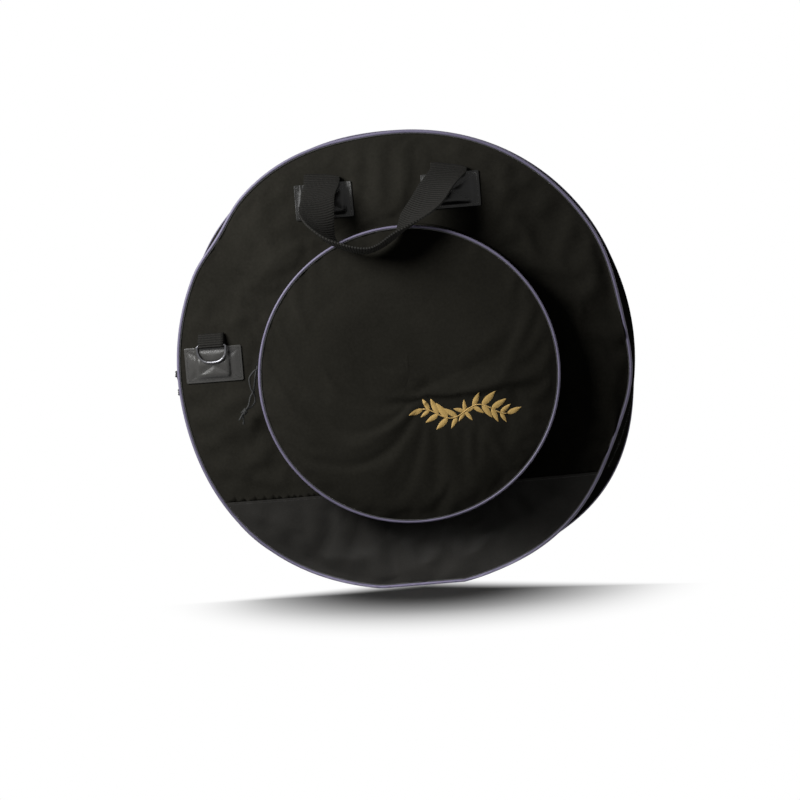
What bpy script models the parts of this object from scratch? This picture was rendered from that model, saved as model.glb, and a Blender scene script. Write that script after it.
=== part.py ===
"""Round padded cymbal bag that stands on its flattened rim, as separate sewn and moulded pieces.

Metres, +Z up, front towards -Y, origin under the middle of the bag on the floor.
Every ring and disc is turned about the bag's Y axis and then sags with the rim.
"""

import math

import bmesh
import bpy
from mathutils import Matrix, Vector
from mathutils.bvhtree import BVHTree

MM = 0.001

# Whole bag
BAG_RADIUS = 325 * MM
BAG_DEPTH = 90 * MM
FLOOR_FLAT = 5 * MM
CROWN = 12 * MM
CROWN_FLAT_SHARE = 0.74
BASE_SEAM_DROP = 180 * MM
SEAT = 0.3 * MM
BAG_STEPS = 40

# Layers of the panels
COVER_WALL = 1.2 * MM
FOAM_WALL = 8 * MM
LINING_WALL = 0.8 * MM
LAYER_INSET = 1.5 * MM
CROWN_STATION_SHARES = (0.0, 0.74, 0.83, 0.92, 1.0)

# Rim
PIPING_RADIUS = 2.2 * MM
PIPING_SIDES = 6
GUSSET_WALL = 4 * MM
GUSSET_INSET = 1 * MM

# How the standing bag gives: angle, width (degrees from +X, seen from the front) and share of the radius
FRONT_SAG_SHARES = (
    (60, 38, 0.016), (120, 26, 0.018), (142, 12, -0.018), (226, 42, 0.020),
    (303, 16, 0.006), (335, 24, -0.026), (8, 24, -0.030),
)
BACK_SAG_SHARES = ((55, 40, 0.014), (117, 30, 0.016), (225, 36, 0.038), (322, 32, 0.034), (5, 16, -0.010))
SAG_START_SHARE = 0.72
SAG_FULL_SHARE = 0.93

# Zips
ZIP_SLIT = 1.2 * MM
ZIP_WINDOW = 18 * MM
ZIP_TAPE_WALL = 1 * MM
ZIP_TAPE_GAP = 0.8 * MM
ZIP_UNDERLAP = 8 * MM
TEETH_WIDTH = 2.6 * MM
TEETH_HEIGHT = 2.2 * MM

# Pocket on the front panel
POCKET_RIM_INSET = 112 * MM
POCKET_DEPTH = 42 * MM
POCKET_OFFSET_X = 6 * MM
POCKET_DROP = 17 * MM
POCKET_CROWN = 8 * MM
POCKET_FLAT_SHARE = 0.55
POCKET_WALL = 2 * MM
POCKET_FOLD_DEG = 3
POCKET_PIPING_RADIUS = 2.0 * MM
POCKET_STATION_SHARES = (0.0, 0.55, 0.78, 1.0)
POCKET_STEPS = 32

# Zip sliders and their cords
SLIDER_LENGTH = 14 * MM
SLIDER_WIDTH = 10 * MM
SLIDER_PLATE = 1.4 * MM
SLIDER_CLEAR = 0.6 * MM
SLIDER_CLEAR_BELOW = 1.6 * MM
BAIL_LENGTH = 9 * MM
BAIL_WIDTH = 2.4 * MM
BAIL_WALL = 1.1 * MM
BAIL_ROOM = 4.2 * MM
MAIN_MEETING_DEG = 170
MAIN_SLIDER_DEG = 2.2
POCKET_SLIDER_DEG = 172.5
CORD_RADIUS = 1.4 * MM
CORD_STEP = 5 * MM
CORD_ROUND_STEPS = 1
KNOT_LENGTH = 12 * MM
KNOT_WIDTH = 9 * MM
KNOT_DEPTH = 8 * MM
KNOT_ROUND_STEPS = 2
PULL_LENGTH = 65 * MM

# Routes of the cords from the bail, as shares of the pull's length: along, across and out of the bag
BAIL_TURN_SHARES = ((0.35, 0.86, 0.0), (1.4, 1.17, 0.0))
HANGING_STRAND_SHARES = (
    (
        (0.10, 0.066, 0.060), (0.26, 0.060, 0.160), (0.47, 0.040, 0.125), (0.565, 0.030, 0.075),
        (0.66, 0.028, 0.118), (0.84, 0.028, 0.150), (0.918, 0.027, 0.185),
    ),
    (
        (0.12, -0.060, 0.030), (0.34, -0.046, 0.046), (0.56, -0.031, 0.057), (0.66, -0.029, 0.031),
        (0.78, -0.029, 0.028), (0.875, -0.028, 0.086), (0.927, -0.027, 0.165),
    ),
)
HANGING_KNOT_SHARE = (1.0, 0.0, 0.235)
HANGING_TAIL_SHARES = ((1.19, 0.03, 0.345), (1.28, -0.023, 0.255))
LYING_STRAND_SHARES = (
    (
        (0.12, 0.058, -0.005), (0.38, 0.048, -0.025), (0.68, 0.038, -0.022),
        (0.83, 0.030, -0.002), (0.91, 0.027, 0.012),
    ),
    (
        (0.12, -0.058, -0.005), (0.38, -0.048, -0.025), (0.68, -0.038, -0.022),
        (0.83, -0.030, -0.002), (0.91, -0.027, 0.012),
    ),
)
LYING_KNOT_SHARE = (1.0, 0.0, 0.026)
LYING_TAIL_SHARES = ((1.23, 0.045, -0.008), (1.26, -0.040, 0.009))

# Way of the upper slider's cord past the lower slider: sideways and out between two places along it
BESIDE_ACROSS = 10.5 * MM
BESIDE_OUT = 2 * MM
BESIDE_START = 5 * MM
BESIDE_END = 16 * MM

# Webbing handles
HANDLE_HALF_SPAN = 90 * MM
HANDLE_FOLD_INSET = 54 * MM
HANDLE_PATCH_DROP = 36 * MM
PATCH_WIDTH = 82 * MM
PATCH_HEIGHT = 50 * MM
PATCH_WALL = 1.4 * MM
PATCH_BORDER = 10 * MM
LAID_GAP = 1.1 * MM
HANDLE_WEBBING_WIDTH = 50 * MM
HANDLE_WEBBING_WALL = 2.5 * MM
HANDLE_MIDDLE = -5 * MM
END_STEPS = 5
PATCH_RAMP = 5 * MM
STRAP_OUT = 98 * MM
STRAP_DROP = 108 * MM
STRAP_STEPS = 42

# Strap from its left fold to its right: middle line as shares of the half span, reach and drop,
# then the way its outer selvage points, and how deep it is troughed as a share of its width
STRAP_SHARES = (
    (-1.000, 0.000, 0.000, -1.00, 0.00, 0.00, 0.00),
    (-1.005, 0.041, 0.074, -1.00, 0.00, 0.00, 0.00),
    (-1.028, 0.153, 0.167, -1.00, 0.06, 0.03, 0.02),
    (-1.078, 0.327, 0.296, -0.97, 0.21, 0.08, 0.05),
    (-1.094, 0.469, 0.481, -0.95, 0.30, -0.04, 0.10),
    (-1.022, 0.633, 0.713, -0.62, 0.74, -0.28, 0.12),
    (-0.800, 0.714, 0.880, -0.20, 0.96, -0.18, 0.10),
    (-0.333, 0.760, 1.000, 0.10, 0.99, -0.16, 0.06),
    (0.089, 0.724, 0.833, 0.13, 0.98, -0.18, 0.10),
    (0.411, 0.602, 0.602, 0.72, 0.68, 0.07, 0.12),
    (0.622, 0.449, 0.435, 0.88, 0.43, 0.17, 0.08),
    (0.789, 0.276, 0.250, 0.96, 0.25, 0.12, 0.05),
    (0.911, 0.143, 0.144, 0.99, 0.08, 0.05, 0.02),
    (0.983, 0.041, 0.074, 1.00, 0.00, 0.00, 0.00),
    (1.000, 0.000, 0.000, 1.00, 0.00, 0.00, 0.00),
)

# D-ring on its webbing tab
D_RING_INSET = 54 * MM
D_RING_PATCH_RISE = 18 * MM
D_RING_FOLD_RISE = 59 * MM
D_WEBBING_WIDTH = 37 * MM
D_WEBBING_WALL = 3 * MM
D_LOOP_DROP = 14 * MM
D_LOOP_OUT = 6 * MM
D_WIRE_RADIUS = 1.8 * MM
D_RING_DROP = 24 * MM
D_WIRE_ROUND_STEPS = 2
D_SIDE_ROOM = 2.7 * MM
D_CORNER = 2 * MM
D_SQUARE_SHARE = 0.8
D_ARC_STEPS = 12
LOOP_STEPS = 12

# Dividers between the cymbals
DIVIDER_INSET = 28 * MM
DIVIDER_WALL = 2 * MM
DIVIDER_PLACE = 12 * MM
DIVIDER_CENTRE_DROP = 20 * MM

# Worked out from the sizes above
CENTRE = Vector((0, 0, BAG_RADIUS - FLOOR_FLAT))
RIM_PLANE = BAG_DEPTH / 2
SEAM_HEIGHT = CENTRE.z - BASE_SEAM_DROP
GUSSET_INNER = BAG_RADIUS - GUSSET_INSET - GUSSET_WALL
POCKET_RADIUS = BAG_RADIUS - POCKET_RIM_INSET
POCKET_BACK = RIM_PLANE + CROWN + SEAT
POCKET_FRONT = RIM_PLANE + CROWN + POCKET_DEPTH
POCKET_CENTRE = Vector((POCKET_OFFSET_X, 0, CENTRE.z - POCKET_DROP))
POCKET_ZIP_PLANE = (POCKET_BACK + POCKET_FRONT) / 2
FOLD_HEIGHT = POCKET_CENTRE.z - POCKET_RADIUS * math.sin(math.radians(POCKET_FOLD_DEG))
MAIN_BED = BAG_RADIUS - GUSSET_INSET - GUSSET_WALL - ZIP_TAPE_GAP
POCKET_BED = POCKET_RADIUS - GUSSET_INSET - POCKET_WALL - ZIP_TAPE_GAP
PLATE_FLOOR = TEETH_HEIGHT + SLIDER_CLEAR
PLATE_TOP = PLATE_FLOOR + SLIDER_PLATE
CORD_START = Vector((0, 0, PLATE_TOP + BAIL_ROOM / 2))
HANDLE_FOLD_RISE = BAG_RADIUS - HANDLE_FOLD_INSET
HANDLE_PATCH_RISE = HANDLE_FOLD_RISE - HANDLE_PATCH_DROP
D_RING_X = BAG_RADIUS - D_RING_INSET
DIVIDER_RADIUS = BAG_RADIUS - DIVIDER_INSET
SECTION_ALONG_X = Matrix(((0, 0, 1, 0), (1, 0, 0, 0), (0, 1, 0, 0), (0, 0, 0, 1)))
SECTION_ALONG_Y = Matrix(((1, 0, 0, 0), (0, 0, -1, 0), (0, 1, 0, 0), (0, 0, 0, 1)))


def clear_scene():
    """Empty the file of objects and collections."""
    for obj in list(bpy.data.objects):
        bpy.data.objects.remove(obj, do_unlink=True)
    for collection in list(bpy.data.collections):
        bpy.data.collections.remove(collection)


def new_collection(name):
    collection = bpy.data.collections.new(name)
    bpy.context.scene.collection.children.link(collection)
    return collection


def finish(name, colour, roughness, metallic=0.0):
    material = bpy.data.materials.new(name)
    material.use_nodes = True
    shader = material.node_tree.nodes["Principled BSDF"]
    shader.inputs["Base Color"].default_value = (*colour, 1.0)
    shader.inputs["Roughness"].default_value = roughness
    shader.inputs["Metallic"].default_value = metallic
    return material


def smooth_step(share):
    share = min(max(share, 0.0), 1.0)
    return share * share * (3 - 2 * share)


def crown_at(radius):
    """How far the outside of a panel stands from the bag's middle plane."""
    share = (radius / BAG_RADIUS - CROWN_FLAT_SHARE) / (1 - CROWN_FLAT_SHARE)
    return RIM_PLANE + CROWN * (1 - smooth_step(share))


def pocket_crown_at(radius):
    share = (radius / POCKET_RADIUS - POCKET_FLAT_SHARE) / (1 - POCKET_FLAT_SHARE)
    return POCKET_FRONT + POCKET_CROWN * (1 - smooth_step(share))


def bump(angle, middle, width):
    """A smooth hump of height 1 that is width degrees across at half height."""
    away = abs(math.remainder(angle - middle, 360))
    return math.cos(min(away / width, 1.0) * math.pi / 2) ** 2


def sagged(place):
    """Where a point of the ideal round bag lies once the bag stands on the floor."""
    across, up = place.x, place.z - CENTRE.z
    radius = math.hypot(across, up)
    if radius < SAG_START_SHARE * BAG_RADIUS:
        return place
    angle = math.degrees(math.atan2(up, across))
    table = FRONT_SAG_SHARES if place.y < 0 else BACK_SAG_SHARES
    share = sum(height * bump(angle, middle, width) for middle, width, height in table)
    reach = (radius / BAG_RADIUS - SAG_START_SHARE) / (SAG_FULL_SHARE - SAG_START_SHARE)
    beside = (abs(place.y) - ZIP_WINDOW / 2) / (RIM_PLANE - ZIP_WINDOW / 2)
    grown = radius + BAG_RADIUS * share * min(max(beside, 0.0), 1.0) * smooth_step(reach)
    x = grown * across / radius
    z = CENTRE.z + grown * up / radius
    lift = max(0.0, BAG_RADIUS - radius - z)
    return Vector((x, place.y, z + lift * smooth_step(reach)))


def sag(bm):
    for vert in bm.verts:
        vert.co = sagged(vert.co)


def spun(section, steps, centre, closed):
    """Turn a section of (radius, y) once about the Y axis through centre."""
    bm = bmesh.new()
    verts = [bm.verts.new((radius, y, 0)) for radius, y in section]
    pairs = list(zip(verts, verts[1:]))
    if closed:
        pairs.append((verts[-1], verts[0]))
    edges = [bm.edges.new(pair) for pair in pairs]
    bmesh.ops.spin(
        bm, geom=verts + edges, cent=(0, 0, 0), axis=(0, 1, 0),
        angle=math.tau, steps=steps, use_merge=True, use_duplicate=False,
    )
    bmesh.ops.remove_doubles(bm, verts=bm.verts, dist=SEAT / 1000)
    bmesh.ops.recalc_face_normals(bm, faces=bm.faces)
    bmesh.ops.translate(bm, verts=bm.verts, vec=centre)
    return bm


def cut_away(bm, point, normal):
    """Remove what lies past a plane and close the cut."""
    geom = bm.verts[:] + bm.edges[:] + bm.faces[:]
    made = bmesh.ops.bisect_plane(
        bm, geom=geom, plane_co=point, plane_no=normal, dist=SEAT / 10000, clear_outer=True
    )
    edges = [e for e in made["geom_cut"] if isinstance(e, bmesh.types.BMEdge)]
    bmesh.ops.edgeloop_fill(bm, edges=edges)
    bmesh.ops.recalc_face_normals(bm, faces=bm.faces)


def keep_above(bm, height):
    cut_away(bm, (0, 0, height + SEAT / 2), (0, 0, -1))


def keep_below(bm, height):
    cut_away(bm, (0, 0, height - SEAT / 2), (0, 0, 1))


def turn_to_back(bm):
    """Turn a front piece half round, so that the back of the bag looks like its front."""
    bmesh.ops.rotate(bm, verts=bm.verts, cent=(0, 0, 0), matrix=Matrix.Rotation(math.pi, 3, "Z"))


def to_object(bm, name, material, body):
    """Make an object of a mesh in world places, carried by the empty on its joint's axis."""
    mesh = bpy.data.meshes.new(name)
    bm.to_mesh(mesh)
    bm.free()
    return place_object(bpy.data.objects.new(name, mesh), material, body)


def place_object(obj, material, body):
    if not obj.data.materials:
        obj.data.materials.append(material)
    PARTS.objects.link(obj)
    if body is not None:
        obj.parent = body
        obj.matrix_parent_inverse = Matrix.Translation(-body.location)
    return obj


def shade(obj):
    obj.data.shade_smooth()
    obj.data.set_sharp_from_angle(angle=math.radians(35))
    return obj


def axis_empty(name, place, parent=None):
    """The empty that a moving body's pieces are parented to, on its joint's axis."""
    empty = bpy.data.objects.new(name, None)
    empty.empty_display_size = PATCH_HEIGHT
    PARTS.objects.link(empty)
    empty.location = place
    if parent is not None:
        empty.parent = parent
        empty.matrix_parent_inverse = Matrix.Translation(-world_place(parent))
    return empty


def world_place(empty):
    return Vector(empty.location)


def disc_section(crown, rim, shares, behind, wall):
    """Half section of a crowned disc: its outside from the middle to the rim and its inside back."""
    radii = [rim * share for share in shares]
    outside = [(radius, -(crown(radius) - behind)) for radius in radii]
    inside = [(radius, -(crown(radius) - behind - wall)) for radius in reversed(radii)]
    return outside + inside


def band_section(outer, wall, places):
    """Section of a flat band round the rim, with stations at distances from the middle plane."""
    outside = [(outer, -place) for place in places]
    inside = [(outer - wall, -place) for place in reversed(places)]
    return outside + inside


def zip_section(bed, plane, towards):
    """Section of one zip row: a tape under the gusset, with its teeth at the slit.

    bed is the outer radius of the tape, plane the slit's distance from the middle plane, and
    towards is 1 for the row nearer the front and -1 for the other.
    """
    edge = plane + towards * ZIP_SLIT / 2
    teeth = edge + towards * TEETH_WIDTH
    window = plane + towards * ZIP_WINDOW / 2
    end = window + towards * ZIP_UNDERLAP
    return [
        (bed - ZIP_TAPE_WALL, -edge),
        (bed + TEETH_HEIGHT, -edge),
        (bed + TEETH_HEIGHT, -teeth),
        (bed, -teeth),
        (bed, -window),
        (bed, -end),
        (bed - ZIP_TAPE_WALL, -end),
        (bed - ZIP_TAPE_WALL, -window),
    ]


def tube_section(radius_at, plane, tube_radius):
    """Section of a piping: a small circle."""
    turns = [math.tau * i / PIPING_SIDES for i in range(PIPING_SIDES)]
    return [
        (radius_at + tube_radius * math.cos(turn), -plane + tube_radius * math.sin(turn))
        for turn in turns
    ]


def sheet(columns, rows, place):
    """An open grid whose point (column, row) lies where place says."""
    bm = bmesh.new()
    bmesh.ops.create_grid(bm, x_segments=columns, y_segments=rows, size=1)
    for vert in bm.verts:
        column = round((vert.co.x + 1) / 2 * columns)
        row = round((vert.co.y + 1) / 2 * rows)
        vert.co = place(column, row)
    return bm


def give_wall(obj, wall, offset):
    """Thicken an open sheet; offset 1 grows it outwards, 0 to both sides."""
    solidify = obj.modifiers.new("wall", "SOLIDIFY")
    solidify.thickness = wall
    solidify.offset = offset
    solidify.use_even_offset = False
    return obj


def extruded(name, outlines, thickness, material, matrix, body):
    """A flat outline with its holes, thickened evenly, then placed by matrix."""
    curve = bpy.data.curves.new(name, "CURVE")
    curve.dimensions = "2D"
    curve.fill_mode = "BOTH"
    curve.extrude = thickness / 2
    for outline in outlines:
        spline = curve.splines.new("POLY")
        spline.points.add(len(outline) - 1)
        for point, (x, y) in zip(spline.points, outline):
            point.co = (x, y, 0, 1)
        spline.use_cyclic_u = True
    obj = bpy.data.objects.new(name, curve)
    obj.matrix_world = matrix
    return mesh_from(obj, name, material, body)


def mesh_from(obj, name, material, body):
    """Turn a curve object into a closed mesh object in world places."""
    bpy.context.scene.collection.objects.link(obj)
    bpy.context.view_layer.update()
    graph = bpy.context.evaluated_depsgraph_get()
    mesh = bpy.data.meshes.new_from_object(obj.evaluated_get(graph))
    bm = bmesh.new()
    bm.from_mesh(mesh)
    bm.transform(obj.matrix_world)
    bmesh.ops.remove_doubles(bm, verts=bm.verts, dist=SEAT / 1000)
    bmesh.ops.recalc_face_normals(bm, faces=bm.faces)
    data = obj.data
    bpy.data.objects.remove(obj, do_unlink=True)
    bpy.data.curves.remove(data)
    bpy.data.meshes.remove(mesh)
    return to_object(bm, name, material, body)


def wire(name, points, radius, cyclic, resolution, material, body):
    """A round wire or cord along points in world places."""
    curve = bpy.data.curves.new(name, "CURVE")
    curve.dimensions = "3D"
    curve.bevel_depth = radius
    curve.bevel_resolution = resolution
    curve.use_fill_caps = not cyclic
    curve.resolution_u = 1
    spline = curve.splines.new("POLY")
    spline.points.add(len(points) - 1)
    for point, place in zip(spline.points, points):
        point.co = (*place, 1)
    spline.use_cyclic_u = cyclic
    obj = bpy.data.objects.new(name, curve)
    return mesh_from(obj, name, material, body)


# Panels, foam and lining


def layer(behind, wall, back):
    """One round layer of a panel, its outside lying behind the bag's outer face."""
    rim = BAG_RADIUS - 2 * PIPING_RADIUS - SEAT if behind == 0 else GUSSET_INNER - LAYER_INSET
    bm = spun(disc_section(crown_at, rim, CROWN_STATION_SHARES, behind, wall), BAG_STEPS, CENTRE, False)
    if back:
        turn_to_back(bm)
    sag(bm)
    return bm


def build_half_panels(side, back, body):
    """Cover, leatherette lower panel, foam, lining and piping of one half.

    Returns the cover's surface, for both halves turned as the front one is.
    """
    cover = layer(0, COVER_WALL, back)
    seen = cover.copy()
    if back:
        turn_to_back(seen)
    surface = BVHTree.FromBMesh(seen)
    seen.free()
    lower = cover.copy()
    keep_above(cover, SEAM_HEIGHT)
    keep_below(lower, SEAM_HEIGHT)
    shade(to_object(cover, f"{side}_panel", NYLON, body))
    shade(to_object(lower, f"{side}_lower_panel", LEATHERETTE, body))
    foam = layer(COVER_WALL + SEAT, FOAM_WALL, back)
    shade(to_object(foam, f"{side}_foam", FOAM, body))
    lining = layer(COVER_WALL + FOAM_WALL + 2 * SEAT, LINING_WALL, back)
    shade(to_object(lining, f"{side}_lining", LINING, body))
    piping = spun(
        tube_section(BAG_RADIUS - PIPING_RADIUS, RIM_PLANE, PIPING_RADIUS), BAG_STEPS, CENTRE, True
    )
    if back:
        turn_to_back(piping)
    sag(piping)
    shade(to_object(piping, f"{side}_piping", PIPING, body))
    return surface


def rim_band(places, back):
    outer = BAG_RADIUS - GUSSET_INSET
    bm = spun(band_section(outer, GUSSET_WALL, places), BAG_STEPS, CENTRE, True)
    if back:
        turn_to_back(bm)
    sag(bm)
    return bm


def build_half_rim(side, back, body):
    """Gusset, leatherette base gusset and zip row of one half."""
    edge = RIM_PLANE - PIPING_RADIUS - SEAT
    window = ZIP_WINDOW / 2
    gusset = rim_band((window, window + ZIP_UNDERLAP, edge), back)
    keep_above(gusset, SEAM_HEIGHT)
    shade(to_object(gusset, f"{side}_gusset", NYLON, body))
    base = rim_band((SEAT / 2, window, edge), back)
    keep_below(base, SEAM_HEIGHT)
    shade(to_object(base, f"base_gusset_{side}", LEATHERETTE, body))
    row = spun(zip_section(MAIN_BED, 0, 1), BAG_STEPS, CENTRE, True)
    if back:
        turn_to_back(row)
    sag(row)
    keep_above(row, SEAM_HEIGHT)
    shade(to_object(row, f"main_zip_{side}", ZIP, body))


# Pocket


def build_pocket(fixed, flap):
    """The pocket's fixed lower half and its flap, with the zip between them over the top."""
    piping_inner = POCKET_RADIUS - 2 * POCKET_PIPING_RADIUS - SEAT
    face = disc_section(pocket_crown_at, piping_inner, POCKET_STATION_SHARES, 0, POCKET_WALL)
    piping = tube_section(POCKET_RADIUS - POCKET_PIPING_RADIUS, POCKET_FRONT, POCKET_PIPING_RADIUS)
    for name, section, closed, material in (
        ("pocket_panel", face, False, NYLON),
        ("pocket_piping", piping, True, PIPING),
    ):
        upper = spun(section, POCKET_STEPS, POCKET_CENTRE, closed)
        lower = upper.copy()
        keep_above(upper, FOLD_HEIGHT)
        keep_below(lower, FOLD_HEIGHT)
        shade(to_object(upper, f"{name}_upper", material, flap))
        shade(to_object(lower, f"{name}_lower", material, fixed))
    outer = POCKET_RADIUS - GUSSET_INSET
    front_edge = POCKET_FRONT - POCKET_PIPING_RADIUS - SEAT
    window = ZIP_WINDOW / 2
    bands = (
        ("pocket_gusset_lower", POCKET_BACK, front_edge, False, fixed),
        ("pocket_gusset_upper", POCKET_BACK, POCKET_ZIP_PLANE - window, True, fixed),
        ("pocket_gusset_front", POCKET_ZIP_PLANE + window, front_edge, True, flap),
    )
    for name, low, high, above, body in bands:
        section = band_section(outer, POCKET_WALL, (low, high))
        band = spun(section, POCKET_STEPS, POCKET_CENTRE, True)
        keep = keep_above if above else keep_below
        keep(band, FOLD_HEIGHT)
        shade(to_object(band, name, NYLON, body))
    for name, towards, body in (("pocket_zip_back", -1, fixed), ("pocket_zip_front", 1, flap)):
        row = spun(zip_section(POCKET_BED, POCKET_ZIP_PLANE, towards), POCKET_STEPS, POCKET_CENTRE, True)
        keep_above(row, FOLD_HEIGHT)
        shade(to_object(row, name, ZIP, body))


# Sliders, cords and knots


def slider_frame(centre, plane, bed, degrees):
    """Local frame of a slider: X counter-clockwise along the zip, Z out of the bag, origin on the tape."""
    angle = math.radians(degrees)
    out = Vector((math.cos(angle), 0, math.sin(angle)))
    along = Vector((-math.sin(angle), 0, math.cos(angle)))
    matrix = Matrix((along, out.cross(along), out)).transposed().to_4x4()
    matrix.translation = Vector((centre.x, -plane, centre.z)) + out * bed
    return matrix


def build_slider(name, matrix, body):
    """Two plates joined through the slit, with a bail that the cord runs under."""
    low = -ZIP_TAPE_WALL - SLIDER_CLEAR_BELOW
    half, web = SLIDER_WIDTH / 2, ZIP_SLIT / 2 - SEAT
    outline = [
        (half, PLATE_FLOOR), (half, PLATE_TOP), (-half, PLATE_TOP), (-half, PLATE_FLOOR),
        (-web, PLATE_FLOOR), (-web, low), (-half, low), (-half, low - SLIDER_PLATE),
        (half, low - SLIDER_PLATE), (half, low), (web, low), (web, PLATE_FLOOR),
    ]
    plates = extruded(name, [outline], SLIDER_LENGTH, BLACK_METAL, matrix @ SECTION_ALONG_X, body)
    reach, inner, foot = BAIL_LENGTH / 2, BAIL_LENGTH / 2 - BAIL_WALL, PLATE_TOP - SLIDER_PLATE / 2
    under = PLATE_TOP + BAIL_ROOM
    arch = [
        (-reach, foot), (-reach, under), (-inner, under + BAIL_WALL), (inner, under + BAIL_WALL),
        (reach, under), (reach, foot), (inner, foot), (inner, under), (-inner, under), (-inner, foot),
    ]
    bail = extruded(f"{name}_bail", [arch], BAIL_WIDTH, BLACK_METAL, matrix @ SECTION_ALONG_Y, None)
    join(plates, bail)


def join(obj, tool):
    """Union a guide object into obj."""
    PARTS.objects.unlink(tool)
    CUTTERS.objects.link(tool)
    tool.hide_render = True
    tool.display_type = "WIRE"
    union = obj.modifiers.new("join", "BOOLEAN")
    union.operation = "UNION"
    union.solver = "MANIFOLD"
    union.object = tool


def smooth_route(points, spacing):
    """Read a smooth curve through hand-chosen points, in steps of about spacing."""
    fine = []
    ends = [points[0] * 2 - points[1], *points, points[-1] * 2 - points[-2]]
    for a, b, c, d in zip(ends, ends[1:], ends[2:], ends[3:]):
        fine += between(a, b, c, d, max(2, round((c - b).length / spacing)))
    return fine + [points[-1]]


def between(a, b, c, d, count):
    """Places from b towards c, on the smooth curve that passes a, b, c and d."""
    shares = [i / count for i in range(count)]
    return [
        (2 * b + (c - a) * t + ((2 * a - 5 * b + 4 * c - d) + (3 * b - a - 3 * c + d) * t) * t * t) / 2
        for t in shares
    ]


def pull_place(share):
    return CORD_START + Vector(share) * PULL_LENGTH


def strand_places(shares, way):
    """Route of one strand from under the bail, which it leaves on the side of way."""
    side = BAIL_WIDTH / 2 + SEAT + CORD_RADIUS
    turn = [CORD_START + Vector((x, way * y, z)) * side for x, y, z in BAIL_TURN_SHARES]
    return [CORD_START, *turn, *(pull_place(share) for share in shares)]


def build_pull(name, matrix, strands, knot_place, tail_ends, body, laid):
    """A cord doubled through the bail, tied in a knot with two tails.

    Each strand is a route in the slider's frame, from under the bail to the knot, and laid puts a
    place of that frame on what the cord rests on.
    """
    first, second = strands
    line = [matrix @ laid(place) for place in smooth_route([*reversed(second), *first[1:]], CORD_STEP)]
    shade(wire(f"{name}_cord", line, CORD_RADIUS, False, CORD_ROUND_STEPS, CORD, body))
    knot_place, *tail_ends = (laid(place) for place in (knot_place, *tail_ends))
    bm = bmesh.new()
    bmesh.ops.create_icosphere(bm, subdivisions=KNOT_ROUND_STEPS, radius=1)
    bmesh.ops.scale(bm, verts=bm.verts, vec=Vector((KNOT_LENGTH, KNOT_WIDTH, KNOT_DEPTH)) / 2)
    bmesh.ops.transform(bm, matrix=matrix @ Matrix.Translation(knot_place), verts=bm.verts)
    knot = to_object(bm, f"{name}_knot", CORD, body)
    for count, end in enumerate(tail_ends):
        ends = [matrix @ knot_place, matrix @ end]
        join(knot, wire(f"{name}_tail_{count}", ends, CORD_RADIUS, False, CORD_ROUND_STEPS, CORD, None))
    shade(knot)


def laid_round(place):
    """A place in the main slider's frame, let down onto the round gusset."""
    return Vector((place.x, place.y, place.z - place.x**2 / (2 * MAIN_BED)))


def laid_beside(place):
    """The same, moved aside so that the cord passes the other slider."""
    share = smooth_step((place.x - BESIDE_START) / (BESIDE_END - BESIDE_START))
    return laid_round(place) + Vector((0, -BESIDE_ACROSS, BESIDE_OUT)) * share


def build_main_sliders(root):
    """Two sliders that meet at the left side of the gusset, and whose pulls both hang down along it."""
    for side, towards, laid in (("left", 1, laid_round), ("right", -1, laid_beside)):
        degrees = MAIN_MEETING_DEG + towards * MAIN_SLIDER_DEG
        matrix = slider_frame(CENTRE, 0, MAIN_BED, degrees)
        slide = axis_empty(f"main_slider_{side}_axis", CENTRE, root)
        build_slider(f"main_slider_{side}", matrix, slide)
        swing = axis_empty(f"main_pull_{side}_axis", matrix @ CORD_START, slide)
        strands = [strand_places(shares, way) for shares, way in zip(LYING_STRAND_SHARES, (1, -1))]
        tails = [pull_place(share) for share in LYING_TAIL_SHARES]
        build_pull(f"main_pull_{side}", matrix, strands, pull_place(LYING_KNOT_SHARE), tails, swing, laid)


def build_pocket_slider(front):
    """The pocket's slider near the left end of its zip, with its cord hanging free."""
    matrix = slider_frame(POCKET_CENTRE, POCKET_ZIP_PLANE, POCKET_BED, POCKET_SLIDER_DEG)
    middle = POCKET_CENTRE - Vector((0, POCKET_ZIP_PLANE, 0))
    slide = axis_empty("pocket_slider_axis", middle, front)
    build_slider("pocket_slider", matrix, slide)
    swing = axis_empty("pocket_pull_axis", matrix @ CORD_START, slide)
    strands = [strand_places(shares, way) for shares, way in zip(HANGING_STRAND_SHARES, (1, -1))]
    tails = [pull_place(share) for share in HANGING_TAIL_SHARES]
    build_pull("pocket_pull", matrix, strands, pull_place(HANGING_KNOT_SHARE), tails, swing, Vector)


# Handles and D-rings


def panel_face(surface, x, z):
    """How far towards the front the panel's outside lies at a place."""
    hit = surface.ray_cast(Vector((x, -BAG_DEPTH, z)), Vector((0, 1, 0)))
    return hit[0].y


def webbing_bed(surface, middle, width, z, level):
    """A straight line across a webbing that just clears the panel, as its heights at both selvages.

    level 1 makes the line square to the bag, 0 lets it follow the panel's slope.
    """
    left, right = (panel_face(surface, middle + way * width / 2, z) for way in (-1, 1))
    proud = max(0.0, (left + right) / 2 - panel_face(surface, middle, z))
    front = min(left, right)
    return left + (front - left) * level - proud, right + (front - right) * level - proud


def across_bed(bed, share):
    return bed[0] + (bed[1] - bed[0]) * share


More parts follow.
